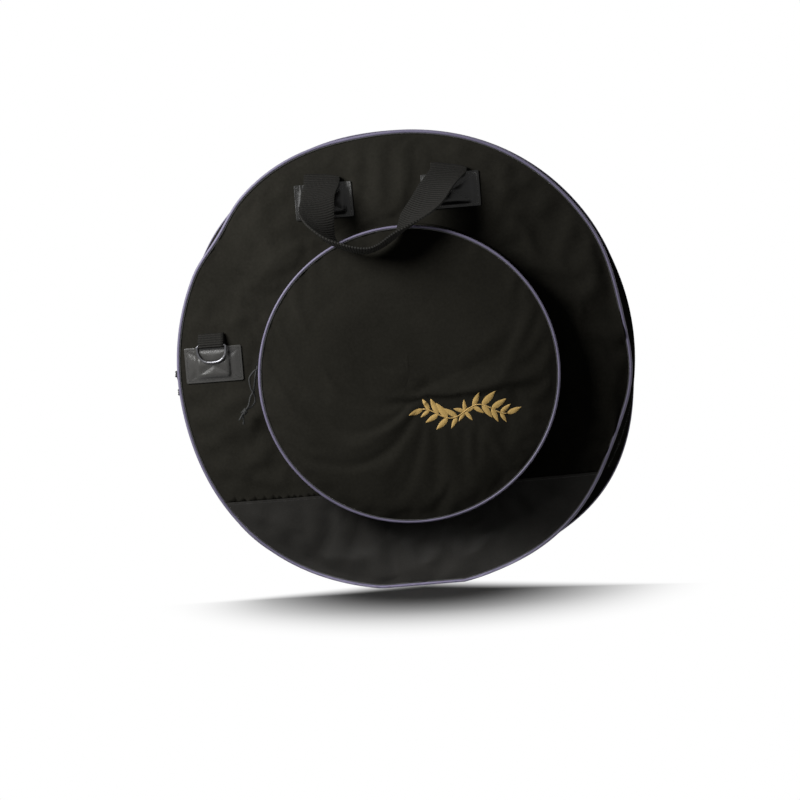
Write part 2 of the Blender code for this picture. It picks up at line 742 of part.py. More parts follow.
def build_sewn_end(names, surface, middle, patch_height, fold_height, webbing, level, back, body):
    """A patch over the sewn end of a webbing that rises to its fold; returns the fold's bed."""
    patch_name, end_name = names
    width, wall = webbing
    low = patch_height - PATCH_HEIGHT / 2
    foot = low + PATCH_BORDER + LAID_GAP
    top = fold_height - SEAT

    def end_place(column, row):
        z = foot + (top - foot) * row / END_STEPS
        bed = webbing_bed(surface, middle, width, z, level * row / END_STEPS)
        return (middle + width * (column / 2 - 0.5), across_bed(bed, column / 2) - LAID_GAP, z)

    half, rim = width / 2 + LAID_GAP, PATCH_WIDTH / 2
    columns = (-rim, -half - PATCH_RAMP, -half, half, half + PATCH_RAMP, rim)

    def patch_place(column, row):
        x, z = columns[column], low + PATCH_HEIGHT * row / END_STEPS
        y = panel_face(surface, middle + x, z) - LAID_GAP
        if column in (2, 3) and row > 0:
            share = max(z - foot, 0.0) / (top - foot)
            bed = webbing_bed(surface, middle, width, z, level * share)
            y = across_bed(bed, column - 2) - LAID_GAP - wall - SEAT
        return (middle + x, y, z)

    patch = sheet(len(columns) - 1, END_STEPS, patch_place)
    end = sheet(2, END_STEPS, end_place)
    for bm, name, material, thick in (
        (patch, patch_name, LEATHERETTE, PATCH_WALL), (end, end_name, WEBBING, wall),
    ):
        if back:
            turn_to_back(bm)
        give_wall(to_object(bm, name, material, body), thick, 1)
    return webbing_bed(surface, middle, width, top, level)


def build_handle(side, surface, back, body):
    """Two sewn ends with patches, and the strap that hangs from their folds."""
    webbing = (HANDLE_WEBBING_WIDTH, HANDLE_WEBBING_WALL)
    patch_height = CENTRE.z + HANDLE_PATCH_RISE
    fold_height = CENTRE.z + HANDLE_FOLD_RISE
    beds = []
    for way, word in ((-1, "left"), (1, "right")):
        names = (f"{side}_handle_patch_{word}", f"{side}_handle_end_{word}")
        middle = HANDLE_MIDDLE + way * HANDLE_HALF_SPAN
        beds += build_sewn_end(names, surface, middle, patch_height, fold_height, webbing, 1, back, body)
    front = min(beds) - LAID_GAP - HANDLE_WEBBING_WALL - SEAT
    axis = Vector((HANDLE_MIDDLE, front, fold_height))
    start = front - SEAT - HANDLE_WEBBING_WALL / 2

    lines = [[], [], []]
    for across, out, drop, *aside, dip in STRAP_SHARES:
        place = Vector((
            HANDLE_MIDDLE + across * HANDLE_HALF_SPAN, start - out * STRAP_OUT,
            fold_height - SEAT - drop * STRAP_DROP,
        ))
        half = Vector((aside[0], -aside[1], -aside[2])).normalized() * HANDLE_WEBBING_WIDTH / 2
        lines[0].append(place + half)
        lines[1].append(place - Vector((0, 0, dip * HANDLE_WEBBING_WIDTH)))
        lines[2].append(place - half)
    rails = [evenly(points) for points in lines]
    bm = sheet(2, STRAP_STEPS, lambda column, row: rails[column][row])
    if back:
        turn_to_back(bm)
        axis = Matrix.Rotation(math.pi, 3, "Z") @ axis
    swing = axis_empty(f"{side}_handle_axis", axis, body)
    give_wall(shade(to_object(bm, f"{side}_handle_strap", WEBBING, swing)), HANDLE_WEBBING_WALL, 0)


def evenly(points):
    """The same number of places on every rail, read from a smooth curve."""
    fine = []
    ends = [points[0] * 2 - points[1], *points, points[-1] * 2 - points[-2]]
    for a, b, c, d in zip(ends, ends[1:], ends[2:], ends[3:]):
        fine += between(a, b, c, d, STRAP_STEPS // (len(points) - 1))
    return fine + [points[-1]]


def build_d_ring(side, surface, back, body):
    """A D-ring on a doubled webbing tab that is folded forward over its patch."""
    fold_height = CENTRE.z + D_RING_FOLD_RISE
    patch_height = CENTRE.z + D_RING_PATCH_RISE
    names = (f"{side}_d_ring_patch", f"{side}_d_ring_tab")
    webbing = (D_WEBBING_WIDTH, D_WEBBING_WALL)
    heights = (patch_height, fold_height)
    left, right = build_sewn_end(names, surface, -D_RING_X, *heights, webbing, 0, back, body)
    tilt = math.atan2(right - left, D_WEBBING_WIDTH)
    place = Vector((-D_RING_X, (left + right) / 2 - LAID_GAP - D_WEBBING_WALL - SEAT, fold_height))
    matrix = Matrix.Translation(place) @ Matrix.Rotation(tilt, 4, "Z")
    if back:
        matrix = Matrix.Rotation(math.pi, 4, "Z") @ matrix
    fold = axis_empty(f"{side}_d_ring_loop_axis", matrix.translation, body)
    bar = Vector((0, -D_LOOP_OUT, -D_LOOP_DROP))
    wrap = D_WIRE_RADIUS + SEAT + D_WEBBING_WALL / 2
    down = Vector((bar.y + D_WEBBING_WALL / 2, bar.z))
    turned = math.atan2(down.y, down.x)
    half_gap = math.asin(D_WEBBING_WALL / 2 / wrap)
    sweep = math.tau - 2 * half_gap
    outline = [(0, -SEAT), (-D_WEBBING_WALL, -SEAT)]
    for i in range(LOOP_STEPS + 1):
        angle = turned + math.pi + half_gap + sweep * i / LOOP_STEPS
        outline.append((bar.y + wrap * math.cos(angle), bar.z + wrap * math.sin(angle)))
    hole = [
        (bar.y + (D_WIRE_RADIUS + SEAT) * math.cos(turn), bar.z + (D_WIRE_RADIUS + SEAT) * math.sin(turn))
        for turn in (math.tau * i / LOOP_STEPS for i in range(LOOP_STEPS))
    ]
    frame = matrix @ SECTION_ALONG_X
    extruded(f"{side}_d_ring_loop", [outline, hole], D_WEBBING_WIDTH, WEBBING, frame, fold)
    swing = axis_empty(f"{side}_d_ring_axis", matrix @ bar, fold)
    half = D_WEBBING_WIDTH / 2 + D_SIDE_ROOM
    points = [Vector((-half + D_CORNER, 0, 0)), Vector((half - D_CORNER, 0, 0))]
    for i in range(D_ARC_STEPS + 1):
        angle = math.pi * i / D_ARC_STEPS
        squared = math.copysign(abs(math.cos(angle)) ** D_SQUARE_SHARE, math.cos(angle))
        deep = D_CORNER + (D_RING_DROP - D_CORNER) * math.sin(angle) ** D_SQUARE_SHARE
        points.append(Vector((half * squared, 0, -deep)))
    line = [matrix @ (bar + point) for point in points]
    shade(wire(f"{side}_d_ring", line, D_WIRE_RADIUS, True, D_WIRE_ROUND_STEPS, STEEL, swing))


# Inside


def build_divider(side, way, parent):
    """A stiff fabric disc whose straight foot is sewn along the bottom of its half."""
    near = DIVIDER_PLACE - DIVIDER_WALL / 2
    section = [
        (0, -near - DIVIDER_WALL), (DIVIDER_RADIUS, -near - DIVIDER_WALL),
        (DIVIDER_RADIUS, -near), (0, -near),
    ]
    centre = CENTRE - Vector((0, 0, DIVIDER_CENTRE_DROP))
    bm = spun(section, BAG_STEPS, centre, False)
    if way > 0:
        turn_to_back(bm)
    foot = GUSSET_INSET + GUSSET_WALL + SEAT
    cut_away(bm, (0, 0, foot), (0, 0, -1))
    axis = axis_empty(f"divider_{side}_axis", Vector((0, way * near, foot)), parent)
    shade(to_object(bm, f"divider_{side}", LINING, axis))


def build():
    root = axis_empty("back_half_root", Vector((0, 0, 0)))
    front = axis_empty("lid_axis", Vector((0, 0, 0)), root)
    fold = Vector((0, -(POCKET_FRONT + POCKET_CROWN + SEAT), FOLD_HEIGHT))
    flap = axis_empty("pocket_fold_axis", fold, front)
    for side, back, body in (("front", False, front), ("back", True, root)):
        surface = build_half_panels(side, back, body)
        build_half_rim(side, back, body)
        build_handle(side, surface, back, body)
        build_d_ring(side, surface, back, body)
    build_pocket(front, flap)
    build_pocket_slider(front)
    build_main_sliders(root)
    build_divider("front", -1, front)
    build_divider("back", 1, root)


clear_scene()
PARTS = new_collection("cymbal_bag")
CUTTERS = new_collection("cutters")
NYLON = finish("black nylon", (0.035, 0.036, 0.036), 0.75)
LEATHERETTE = finish("black leatherette", (0.03, 0.03, 0.033), 0.4)
FOAM = finish("grey foam", (0.25, 0.25, 0.26), 0.9)
LINING = finish("charcoal lining", (0.06, 0.06, 0.065), 0.85)
PIPING = finish("lavender grey piping", (0.5, 0.47, 0.55), 0.45)
ZIP = finish("black zip", (0.03, 0.03, 0.03), 0.5)
WEBBING = finish("black webbing", (0.06, 0.06, 0.058), 0.7)
CORD = finish("black cord", (0.05, 0.055, 0.055), 0.6)
STEEL = finish("dark nickel", (0.2, 0.2, 0.21), 0.3, 1.0)
BLACK_METAL = finish("black zip metal", (0.05, 0.05, 0.05), 0.35, 0.8)
build()
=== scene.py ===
"""Looks of a round padded cymbal bag: its cloth, leatherette, piping, zips, webbing, cords and metal."""

import logging
import math
from dataclasses import dataclass, field
from enum import Enum
from typing import Callable, Iterable, Mapping, Sequence

import bmesh
import bpy
from mathutils import Matrix, Vector, noise
from mathutils.bvhtree import BVHTree


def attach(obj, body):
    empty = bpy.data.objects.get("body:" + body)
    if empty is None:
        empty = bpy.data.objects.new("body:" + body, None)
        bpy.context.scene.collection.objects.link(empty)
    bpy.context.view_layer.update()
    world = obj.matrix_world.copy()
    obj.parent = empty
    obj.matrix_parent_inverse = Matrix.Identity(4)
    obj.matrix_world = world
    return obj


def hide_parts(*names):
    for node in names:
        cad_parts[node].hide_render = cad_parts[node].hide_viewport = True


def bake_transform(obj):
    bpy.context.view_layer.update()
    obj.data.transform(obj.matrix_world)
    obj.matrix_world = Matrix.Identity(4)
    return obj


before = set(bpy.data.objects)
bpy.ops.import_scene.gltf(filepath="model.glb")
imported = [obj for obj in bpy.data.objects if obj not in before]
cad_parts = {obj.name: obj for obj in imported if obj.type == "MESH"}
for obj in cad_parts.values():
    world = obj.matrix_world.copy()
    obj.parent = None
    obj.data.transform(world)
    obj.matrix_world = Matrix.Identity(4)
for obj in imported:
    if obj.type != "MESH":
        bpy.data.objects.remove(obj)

LOG = logging.getLogger("cymbal_bag")
MM = 0.001
Reading = Callable[[Vector], tuple[float, float]]


class Side(Enum):
    """A half of the bag."""

    FRONT = "front"
    BACK = "back"

    @property
    def body(self) -> str:
        """The CAD body that the half rides on."""
        return f"{self.value}_half"

    @property
    def way(self) -> int:
        """-1 towards the front, 1 towards the back."""
        return -1 if self is Side.FRONT else 1


# Shader maths


class Val:
    """One output socket, with arithmetic that adds Math nodes."""

    def __init__(self, recipe: "Recipe", socket: bpy.types.NodeSocket) -> None:
        """Wrap a socket of a recipe."""
        self.recipe = recipe
        self.socket = socket

    def _math(self, operation: str, first: object, *rest: object) -> "Val":
        """Add one Math node.

        Args:
            operation: The node's operation.
            first: Its first value or link.
            rest: Its other values or links.

        Returns:
            The node's output.
        """
        sockets = dict(enumerate((first, *rest)))
        return self.recipe.value(self.recipe.node("ShaderNodeMath", {"operation": operation}, sockets))

    def __add__(self, other: object) -> "Val":
        """Sum."""
        return self._math("ADD", self, other)

    def __radd__(self, other: object) -> "Val":
        """Sum, reflected."""
        return self._math("ADD", other, self)

    def __sub__(self, other: object) -> "Val":
        """Difference."""
        return self._math("SUBTRACT", self, other)

    def __rsub__(self, other: object) -> "Val":
        """Difference, reflected."""
        return self._math("SUBTRACT", other, self)

    def __mul__(self, other: object) -> "Val":
        """Product."""
        return self._math("MULTIPLY", self, other)

    def __rmul__(self, other: object) -> "Val":
        """Product, reflected."""
        return self._math("MULTIPLY", other, self)

    def __truediv__(self, other: object) -> "Val":
        """Quotient."""
        return self._math("DIVIDE", self, other)

    def __pow__(self, other: object) -> "Val":
        """Power."""
        return self._math("POWER", self, other)

    def __abs__(self) -> "Val":
        """Absolute value."""
        return self._math("ABSOLUTE", self)

    def wave(self, pitch: float) -> "Val":
        """A sine over this length, as a value from -1 to 1."""
        return self._math("SINE", self * (math.tau / pitch))

    def top(self, other: object) -> "Val":
        """The greater of two values."""
        return self._math("MAXIMUM", self, other)


class Recipe:
    """A material built node by node."""

    def __init__(self, name: str) -> None:
        """Start a material with one Principled shader."""
        self.material = bpy.data.materials.new(name)
        self.material.use_nodes = True
        self.tree = self.material.node_tree
        self.shader = self.tree.nodes["Principled BSDF"]

    def node(
        self, kind: str, settings: Mapping[str, object], sockets: Mapping[object, object]
    ) -> bpy.types.Node:
        """Add a node.

        Args:
            kind: Its type.
            settings: Its properties, set first; "stops" are a colour ramp's.
            sockets: Values or links of its inputs, by name or number.

        Returns:
            The node.
        """
        made = self.tree.nodes.new(kind)
        for key, setting in settings.items():
            if key == "stops":
                ramp = made.color_ramp
                for element, (place, colour) in zip((ramp.elements[0], ramp.elements[1]), setting):
                    element.position = place
                    element.color = (*colour, 1.0)
            else:
                setattr(made, key, setting)
        for key, given in sockets.items():
            self.fill(made.inputs[key], given)
        return made

    def fill(self, socket: bpy.types.NodeSocket, given: object) -> None:
        """Set a socket to a value, or link it."""
        if isinstance(given, Val):
            self.tree.links.new(given.socket, socket)
        elif socket.type == "RGBA":
            socket.default_value = (*given[:3], 1.0)
        else:
            socket.default_value = given

    def value(self, node: bpy.types.Node, output: object = 0) -> Val:
        """One of a node's outputs."""
        return Val(self, node.outputs[output])

    def place(self) -> Val:
        """Object coordinates."""
        return self.value(self.node("ShaderNodeTexCoord", {}, {}), "Object")

    def split(self, vector: Val) -> tuple[Val, Val, Val]:
        """The three parts of a vector."""
        made = self.node("ShaderNodeSeparateXYZ", {}, {0: vector})
        return self.value(made, 0), self.value(made, 1), self.value(made, 2)

    def cloth(self) -> tuple[Val, Val]:
        """The cloth's own coordinates in metres, across and along, from its UV map."""
        across, along, _ = self.split(self.value(self.node("ShaderNodeTexCoord", {}, {}), "UV"))
        return across, along

    def noise(self, vector: Val, scale: float, detail: float = 3.0, rough: float = 0.5) -> Val:
        """Noise from 0 to 1 with cells of about 1 / scale metres."""
        sockets = {"Vector": vector, "Scale": scale, "Detail": detail, "Roughness": rough}
        return self.value(self.node("ShaderNodeTexNoise", {}, sockets))

    def cells(self, vector: Val, scale: float) -> Val:
        """Distance to the edges of a cell pattern."""
        settings = {"feature": "DISTANCE_TO_EDGE"}
        return self.value(self.node("ShaderNodeTexVoronoi", settings, {"Vector": vector, "Scale": scale}))

    def blend(self, share: Val, low: object, high: object) -> Val:
        """A colour between two."""
        settings = {"data_type": "RGBA"}
        made = self.node("ShaderNodeMix", settings, {0: share, 6: low, 7: high})
        return self.value(made, 2)

    def relief(self, height: Val, strength: float, depth: float, under: Val | None = None) -> Val:
        """A bump of this depth in metres."""
        sockets = {"Height": height, "Strength": strength, "Distance": depth}
        if under is not None:
            sockets["Normal"] = under
        return self.value(self.node("ShaderNodeBump", {}, sockets))

    def finish(self, **sockets: object) -> bpy.types.Material:
        """Fill the shader's sockets, named with spaces as underscores."""
        for key, given in sockets.items():
            self.fill(self.shader.inputs[key.replace("_", " ")], given)
        return self.material


@dataclass(frozen=True)
class WovenNylon:
    """Coarse plain-woven nylon."""

    name: str
    dark: tuple[float, float, float]
    light: tuple[float, float, float]
    thread: float = 0.9 * MM
    rough: float = 0.72

    def make(self) -> bpy.types.Material:
        """Make the material."""
        recipe = Recipe(self.name)
        across, along = recipe.cloth()
        place = recipe.place()
        weave = across.wave(self.thread * 2) * along.wave(self.thread * 2)
        slub = recipe.noise(place, 260.0, 2.0)
        patch = recipe.noise(place, 9.0, 4.0)
        share = patch * 0.55 + weave * 0.12 + slub * 0.3
        relief = recipe.relief(weave + slub * 0.8, 0.35, 0.16 * MM)
        soft = recipe.relief(recipe.noise(place, 42.0, 3.0), 0.25, 0.8 * MM, relief)
        return recipe.finish(
            Base_Color=recipe.blend(share, self.dark, self.light),
            Roughness=self.rough + (patch - 0.5) * 0.16,
            Specular_IOR_Level=0.0,
            Normal=soft,
        )


@dataclass(frozen=True)
class GrainedLeatherette:
    """Satin leatherette with a fine pebbled grain."""

    name: str
    dark: tuple[float, float, float]
    light: tuple[float, float, float]
    rough: float = 0.42
    gloss: float = 0.25

    def make(self) -> bpy.types.Material:
        """Make the material."""
        recipe = Recipe(self.name)
        place = recipe.place()
        pebble = recipe.cells(place, 620.0)
        crease = recipe.noise(place, 55.0, 6.0, 0.62)
        patch = recipe.noise(place, 12.0, 3.0)
        relief = recipe.relief(pebble * 2.2, 0.35, 0.14 * MM)
        soft = recipe.relief(crease, 0.4, 0.9 * MM, relief)
        return recipe.finish(
            Base_Color=recipe.blend(patch * 0.6 + pebble * 0.6, self.dark, self.light),
            Roughness=self.rough + (crease - 0.5) * 0.25,
            Specular_IOR_Level=self.gloss,
            Normal=soft,
        )


@dataclass(frozen=True)
class RibbedWebbing:
    """Heavy webbing whose weft makes fine ribs across it."""

    name: str
    dark: tuple[float, float, float]
    light: tuple[float, float, float]
    rib: float = 3.6 * MM
    warp: float = 1.8 * MM
    depth: float = 0.8 * MM

    def make(self) -> bpy.types.Material:
        """Make the material."""
        recipe = Recipe(self.name)
        across, along = recipe.cloth()
        ribs = along.wave(self.rib)
        warps = across.wave(self.warp)
        fuzz = recipe.noise(recipe.place(), 420.0, 3.0)
        height = ribs * 0.8 + warps * 0.2 + fuzz * 0.7
        # Rib crests are painted lighter and rib hollows darker: painted shade that follows the ribs' bump,
        # mixed with random fuzz.
        share = (ribs * 0.5 + 0.5) * 0.7 + fuzz * 0.35
        return recipe.finish(
            Base_Color=recipe.blend(share, self.dark, self.light),
            Roughness=0.62 + fuzz * 0.15,
            Specular_IOR_Level=0.15,
            Normal=recipe.relief(height, 0.8, self.depth),
        )


@dataclass(frozen=True)
class SatinPiping:
    """Satin vinyl welt with a faint wrap of its cloth backing."""

    name: str
    dark: tuple[float, float, float]
    light: tuple[float, float, float]

    def make(self) -> bpy.types.Material:
        """Make the material."""
        recipe = Recipe(self.name)
        place = recipe.place()
        patch = recipe.noise(place, 34.0, 4.0)
        grain = recipe.noise(place, 900.0, 2.0)
        return recipe.finish(
            Base_Color=recipe.blend(patch * 0.8 + grain * 0.2, self.dark, self.light),
            Roughness=0.4 + patch * 0.2,
            Normal=recipe.relief(grain + patch, 0.3, 0.2 * MM),
        )


@dataclass(frozen=True)
class WornMetal:
    """Plated or enamelled metal with handling marks."""

    name: str
    dark: tuple[float, float, float]
    light: tuple[float, float, float]
    metallic: float
    rough: float

    def make(self) -> bpy.types.Material:
        """Make the material."""
        recipe = Recipe(self.name)
        place = recipe.place()
        smear = recipe.noise(place, 160.0, 5.0, 0.6)
        scratch = recipe.noise(place, 1400.0, 2.0)
        return recipe.finish(
            Base_Color=recipe.blend(smear, self.dark, self.light),
            Metallic=self.metallic,
            Roughness=self.rough + (smear - 0.5) * 0.22,
            Normal=recipe.relief(scratch, 0.12, 0.05 * MM),
        )


@dataclass(frozen=True)
class TwistedThread:
    """Sewing or embroidery thread with a fine twist."""

    name: str
    dark: tuple[float, float, float]
    light: tuple[float, float, float]
    pitch: float = 0.7 * MM
    rough: float = 0.45
    sheen: float = 0.25

    def make(self) -> bpy.types.Material:
        """Make the material."""
        recipe = Recipe(self.name)
        place = recipe.place()
        left, depth, up = recipe.split(place)
        twist = (left + up * 0.8 + depth * 0.5).wave(self.pitch)
        fuzz = recipe.noise(place, 700.0, 3.0)
        return recipe.finish(
            Base_Color=recipe.blend(twist * 0.3 + fuzz * 0.7, self.dark, self.light),
            Roughness=self.rough + fuzz * 0.2,
            Sheen_Weight=self.sheen,
            Sheen_Roughness=0.35,
            Normal=recipe.relief(twist + fuzz, 0.5, 0.2 * MM),
        )


@dataclass(frozen=True)
class BrushedLining:
    """Napped lining cloth."""

    name: str
    dark: tuple[float, float, float]
    light: tuple[float, float, float]

    def make(self) -> bpy.types.Material:
        """Make the material."""
        recipe = Recipe(self.name)
        place = recipe.place()
        nap = recipe.noise(place, 520.0, 5.0, 0.7)
        patch = recipe.noise(place, 14.0, 3.0)
        return recipe.finish(
            Base_Color=recipe.blend(nap * 0.6 + patch * 0.4, self.dark, self.light),
            Roughness=0.92,
            Sheen_Weight=0.3,
            Sheen_Roughness=0.5,
            Normal=recipe.relief(nap, 0.5, 0.4 * MM),
        )


class Finishes:
    """Every material of the bag, made once."""

    def __init__(self) -> None:
        """Make them."""
        self.nylon = WovenNylon("black_woven_nylon", (0.008, 0.0076, 0.006), (0.038, 0.0359, 0.0295)).make()
        self.leatherette = GrainedLeatherette(
            "black_leatherette", (0.013, 0.0125, 0.0115), (0.046, 0.044, 0.040), 0.42, 0.05
        ).make()
        # A darker copy of the leatherette for the base gusset and spine: its darker colour is painted shade,
        # while its matt, rougher surface is its own finish.
        self.base = GrainedLeatherette(
            "shaded_base_leatherette", (0.006, 0.006, 0.0055), (0.022, 0.021, 0.019), 0.55, 0.0
        ).make()
        self.patch = GrainedLeatherette(
            "patch_leatherette", (0.0035, 0.0035, 0.003), (0.014, 0.0135, 0.012), 0.32, 0.22
        ).make()
        # A lighter, glossier copy of the patch leatherette for the D-ring patch: painted light, standing in
        # for the lamp's light falling full on that patch.
        self.lit_tab_patch = GrainedLeatherette(
            "tab_leatherette_painted_light", (0.013, 0.0125, 0.011), (0.042, 0.040, 0.036), 0.30, 0.5
        ).make()
        self.webbing = RibbedWebbing("black_webbing", (0.002, 0.002, 0.0016), (0.018, 0.017, 0.0145)).make()
        self.tape = RibbedWebbing(
            "zip_tape", (0.009, 0.009, 0.009), (0.022, 0.022, 0.022), 1.0 * MM, 0.8 * MM, 0.3 * MM
        ).make()
        self.piping = SatinPiping("grey_lavender_piping", (0.085, 0.075, 0.13), (0.21, 0.19, 0.29)).make()
        self.coil = TwistedThread(
            "zip_coil", (0.012, 0.012, 0.013), (0.04, 0.04, 0.042), 1.2 * MM, 0.3
        ).make()
        self.cord = TwistedThread(
            "black_cord", (0.004, 0.0042, 0.004), (0.020, 0.021, 0.020), 1.6 * MM, 0.6, 0.03
        ).make()
        self.stitch = TwistedThread(
            "black_stitching", (0.012, 0.012, 0.012), (0.05, 0.05, 0.048), 0.8 * MM
        ).make()
        self.patch_stitch = TwistedThread(
            "grey_stitching", (0.03, 0.03, 0.028), (0.10, 0.10, 0.095), 0.8 * MM
        ).make()
        self.tab_stitch = TwistedThread(
            "dark_stitching", (0.003, 0.003, 0.003), (0.012, 0.012, 0.011), 0.8 * MM
        ).make()
        self.gold = TwistedThread(
            "gold_embroidery", (0.50, 0.30, 0.07), (0.86, 0.62, 0.25), 0.9 * MM, 0.38
        ).make()
        self.nickel = WornMetal("dark_nickel", (0.05, 0.05, 0.054), (0.15, 0.15, 0.158), 1.0, 0.34).make()
        self.enamel = WornMetal("black_enamel", (0.012, 0.012, 0.013), (0.05, 0.05, 0.052), 0.7, 0.34).make()
        self.lining = BrushedLining("charcoal_lining", (0.03, 0.03, 0.033), (0.08, 0.08, 0.086)).make()
        self.foam = BrushedLining("grey_foam", (0.16, 0.16, 0.17), (0.30, 0.30, 0.31)).make()


# Forms shared by the pieces


@dataclass(frozen=True)
class BagForm:
    """The round bag's sizes, and how it gives when it stands."""

    radius: float = 325 * MM
    depth: float = 90 * MM
    floor_flat: float = 5 * MM
    crown: float = 12 * MM
    crown_flat: float = 0.74
    seam_drop: float = 180 * MM
    seat: float = 0.3 * MM
    inset: float = 1 * MM
    gusset_wall: float = 4 * MM
    piping: float = 2.2 * MM
    window: float = 9 * MM
    tape_gap: float = 0.8 * MM
    sag_start: float = 0.72
    sag_full: float = 0.93
    front_sag: tuple[tuple[float, float, float], ...] = (
        (60, 38, 0.014), (120, 26, 0.018), (142, 12, -0.016), (226, 42, 0.024),
        (303, 16, 0.006), (335, 24, -0.026), (8, 24, -0.030),
    )
    back_sag: tuple[tuple[float, float, float], ...] = (
        (55, 40, 0.010), (117, 30, 0.016), (143, 16, 0.012), (225, 36, 0.058), (322, 32, 0.040),
        (5, 30, -0.012), (180, 12, -0.008),
    )

    @property
    def centre(self) -> Vector:
        """Middle of the round bag."""
        return Vector((0, 0, self.radius - self.floor_flat))

    @property
    def rim(self) -> float:
        """Distance of the piping from the bag's middle plane."""
        return self.depth / 2

    @property
    def seam(self) -> float:
        """Height of the seam over the leatherette."""
        return self.centre.z - self.seam_drop

    @property
    def bed(self) -> float:
        """Outer radius of the main zip's tape."""
        return self.radius - self.inset - self.gusset_wall - self.tape_gap

    def crown_at(self, radius: float) -> float:
        """How far a panel's outside stands from the bag's middle plane."""
        share = (radius / self.radius - self.crown_flat) / (1 - self.crown_flat)
        return self.rim + self.crown * (1 - smooth_step(share))

    def sagged(self, place: Vector) -> Vector:
        """Where a point of the ideal round bag lies once the bag stands on the floor."""
        across, up = place.x, place.z - self.centre.z
        radius = math.hypot(across, up)
        if radius < self.sag_start * self.radius:
            return place
        angle = math.degrees(math.atan2(up, across))
        table = self.front_sag if place.y < 0 else self.back_sag
        share = sum(height * hump(angle, middle, width) for middle, width, height in table)
        reach = (radius / self.radius - self.sag_start) / (self.sag_full - self.sag_start)
        beside = min(max((abs(place.y) - self.window) / (self.rim - self.window), 0.0), 1.0)
        grown = radius + self.radius * share * beside * smooth_step(reach)
        x = grown * across / radius
        z = self.centre.z + grown * up / radius
        lift = max(0.0, self.radius - radius - z)
        return Vector((x, place.y, z + lift * smooth_step(reach)))


@dataclass(frozen=True)
class PocketForm:
    """The round front pocket's sizes."""

    radius: float = 213 * MM
    back: float = 57.3 * MM
    front: float = 99 * MM
    crown: float = 8 * MM
    flat: float = 0.55
    wall: float = 2 * MM
    piping: float = 2 * MM
    fold_deg: float = 3
    inset: float = 1 * MM
    tape_gap: float = 0.8 * MM
    offset_x: float = 6 * MM
    height: float = 303 * MM
    slump: float = 0.014

    @property
    def centre(self) -> Vector:
        """Middle of the pocket."""
        return Vector((self.offset_x, 0, self.height))

    def slumped(self, place: Vector) -> Vector:
        """Where a point of the round pocket lies once its padded face has slumped between top and bottom."""
        share = min(max((-place.y - self.back) / (self.front - self.back), 0.0), 1.0)
        return Vector((place.x, place.y, self.height + (place.z - self.height) * (1 - self.slump * share)))

    @property
    def fold(self) -> float:
        """Height of the line that the flap folds on."""
        return self.height - self.radius * math.sin(math.radians(self.fold_deg))

    @property
    def zip_plane(self) -> float:
        """Distance of the zip from the bag's middle plane."""
        return (self.back + self.front) / 2

    @property
    def bed(self) -> float:
        """Outer radius of the zip's tape."""
        return self.radius - self.inset - self.wall - self.tape_gap

    def crown_at(self, radius: float) -> float:
        """How far the pocket's face stands from the bag's middle plane."""
        share = (radius / self.radius - self.flat) / (1 - self.flat)
        return self.front + self.crown * (1 - smooth_step(share))


def smooth_step(share: float) -> float:
    """An even step from 0 to 1."""
    share = min(max(share, 0.0), 1.0)
    return share * share * (3 - 2 * share)


def hump(angle: float, middle: float, width: float) -> float:
    """A smooth hump of height 1 around an angle, in degrees."""
    away = abs((angle - middle + 180) % 360 - 180)
    return math.cos(min(away / width, 1.0) * math.pi / 2) ** 2


@dataclass(frozen=True)
class Fold:
    """A long soft ridge or hollow in a cloth, seen from the front, in millimetres from the bag's middle."""

    start: tuple[float, float]
    end: tuple[float, float]
    width: float
    height: float

    def at(self, x: float, z: float) -> float:
        """Height of the fold over a place, in metres."""
        ax, az = self.start
        dx, dz = self.end[0] - ax, self.end[1] - az
        length = math.hypot(dx, dz)
        along = ((x - ax) * dx + (z - az) * dz) / length**2
        away = abs((x - ax) * dz - (z - az) * dx) / length
        beyond = max(0.0, -along, along - 1) * length
        spread = math.exp(-((away / self.width) ** 2) - (beyond / self.width) ** 2)
        fade = math.sin(math.pi * min(max(along * 0.9 + 0.05, 0.0), 1.0)) ** 0.7
        return self.height * MM * spread * fade


def lay_uv(bm: bmesh.types.BMesh, reading: Reading, period: float = 0.0) -> None:
    """Give every face its cloth coordinates, in metres.

    Args:
        bm: The mesh.
        reading: Cloth coordinates of a place.
        period: Length after which the first coordinate starts again, or 0.
    """
    layer = bm.loops.layers.uv.verify()
    for face in bm.faces:
        first = None
        for loop in face.loops:
            across, along = reading(loop.vert.co)
            first = across if first is None else first
            if period and across - first > period / 2:
                across -= period
            if period and first - across > period / 2:
                across += period
            loop[layer].uv = (across, along)


def spun(
    section: Sequence[tuple[float, float]], steps: int, centre: Vector, closed: bool
) -> bmesh.types.BMesh:
    """Turn a section of (radius, distance to the front) once about the Y axis through centre.

    Args:
        section: Points of the section.
        steps: Steps of a whole turn.
        centre: A point on the axis.
        closed: Whether the section's end joins its start.

    Returns:
        The mesh.
    """
    bm = bmesh.new()
    verts = [bm.verts.new((radius, -out, 0)) for radius, out in section]
    pairs = list(zip(verts, verts[1:])) + ([(verts[-1], verts[0])] if closed else [])
    edges = [bm.edges.new(pair) for pair in pairs]
    bmesh.ops.spin(
        bm, geom=verts + edges, cent=(0, 0, 0), axis=(0, 1, 0),
        angle=math.tau, steps=steps, use_merge=True, use_duplicate=False,
    )
    bmesh.ops.remove_doubles(bm, verts=bm.verts, dist=0.001 * MM)
    bmesh.ops.recalc_face_normals(bm, faces=bm.faces)
    bmesh.ops.translate(bm, verts=bm.verts, vec=centre)
    return bm


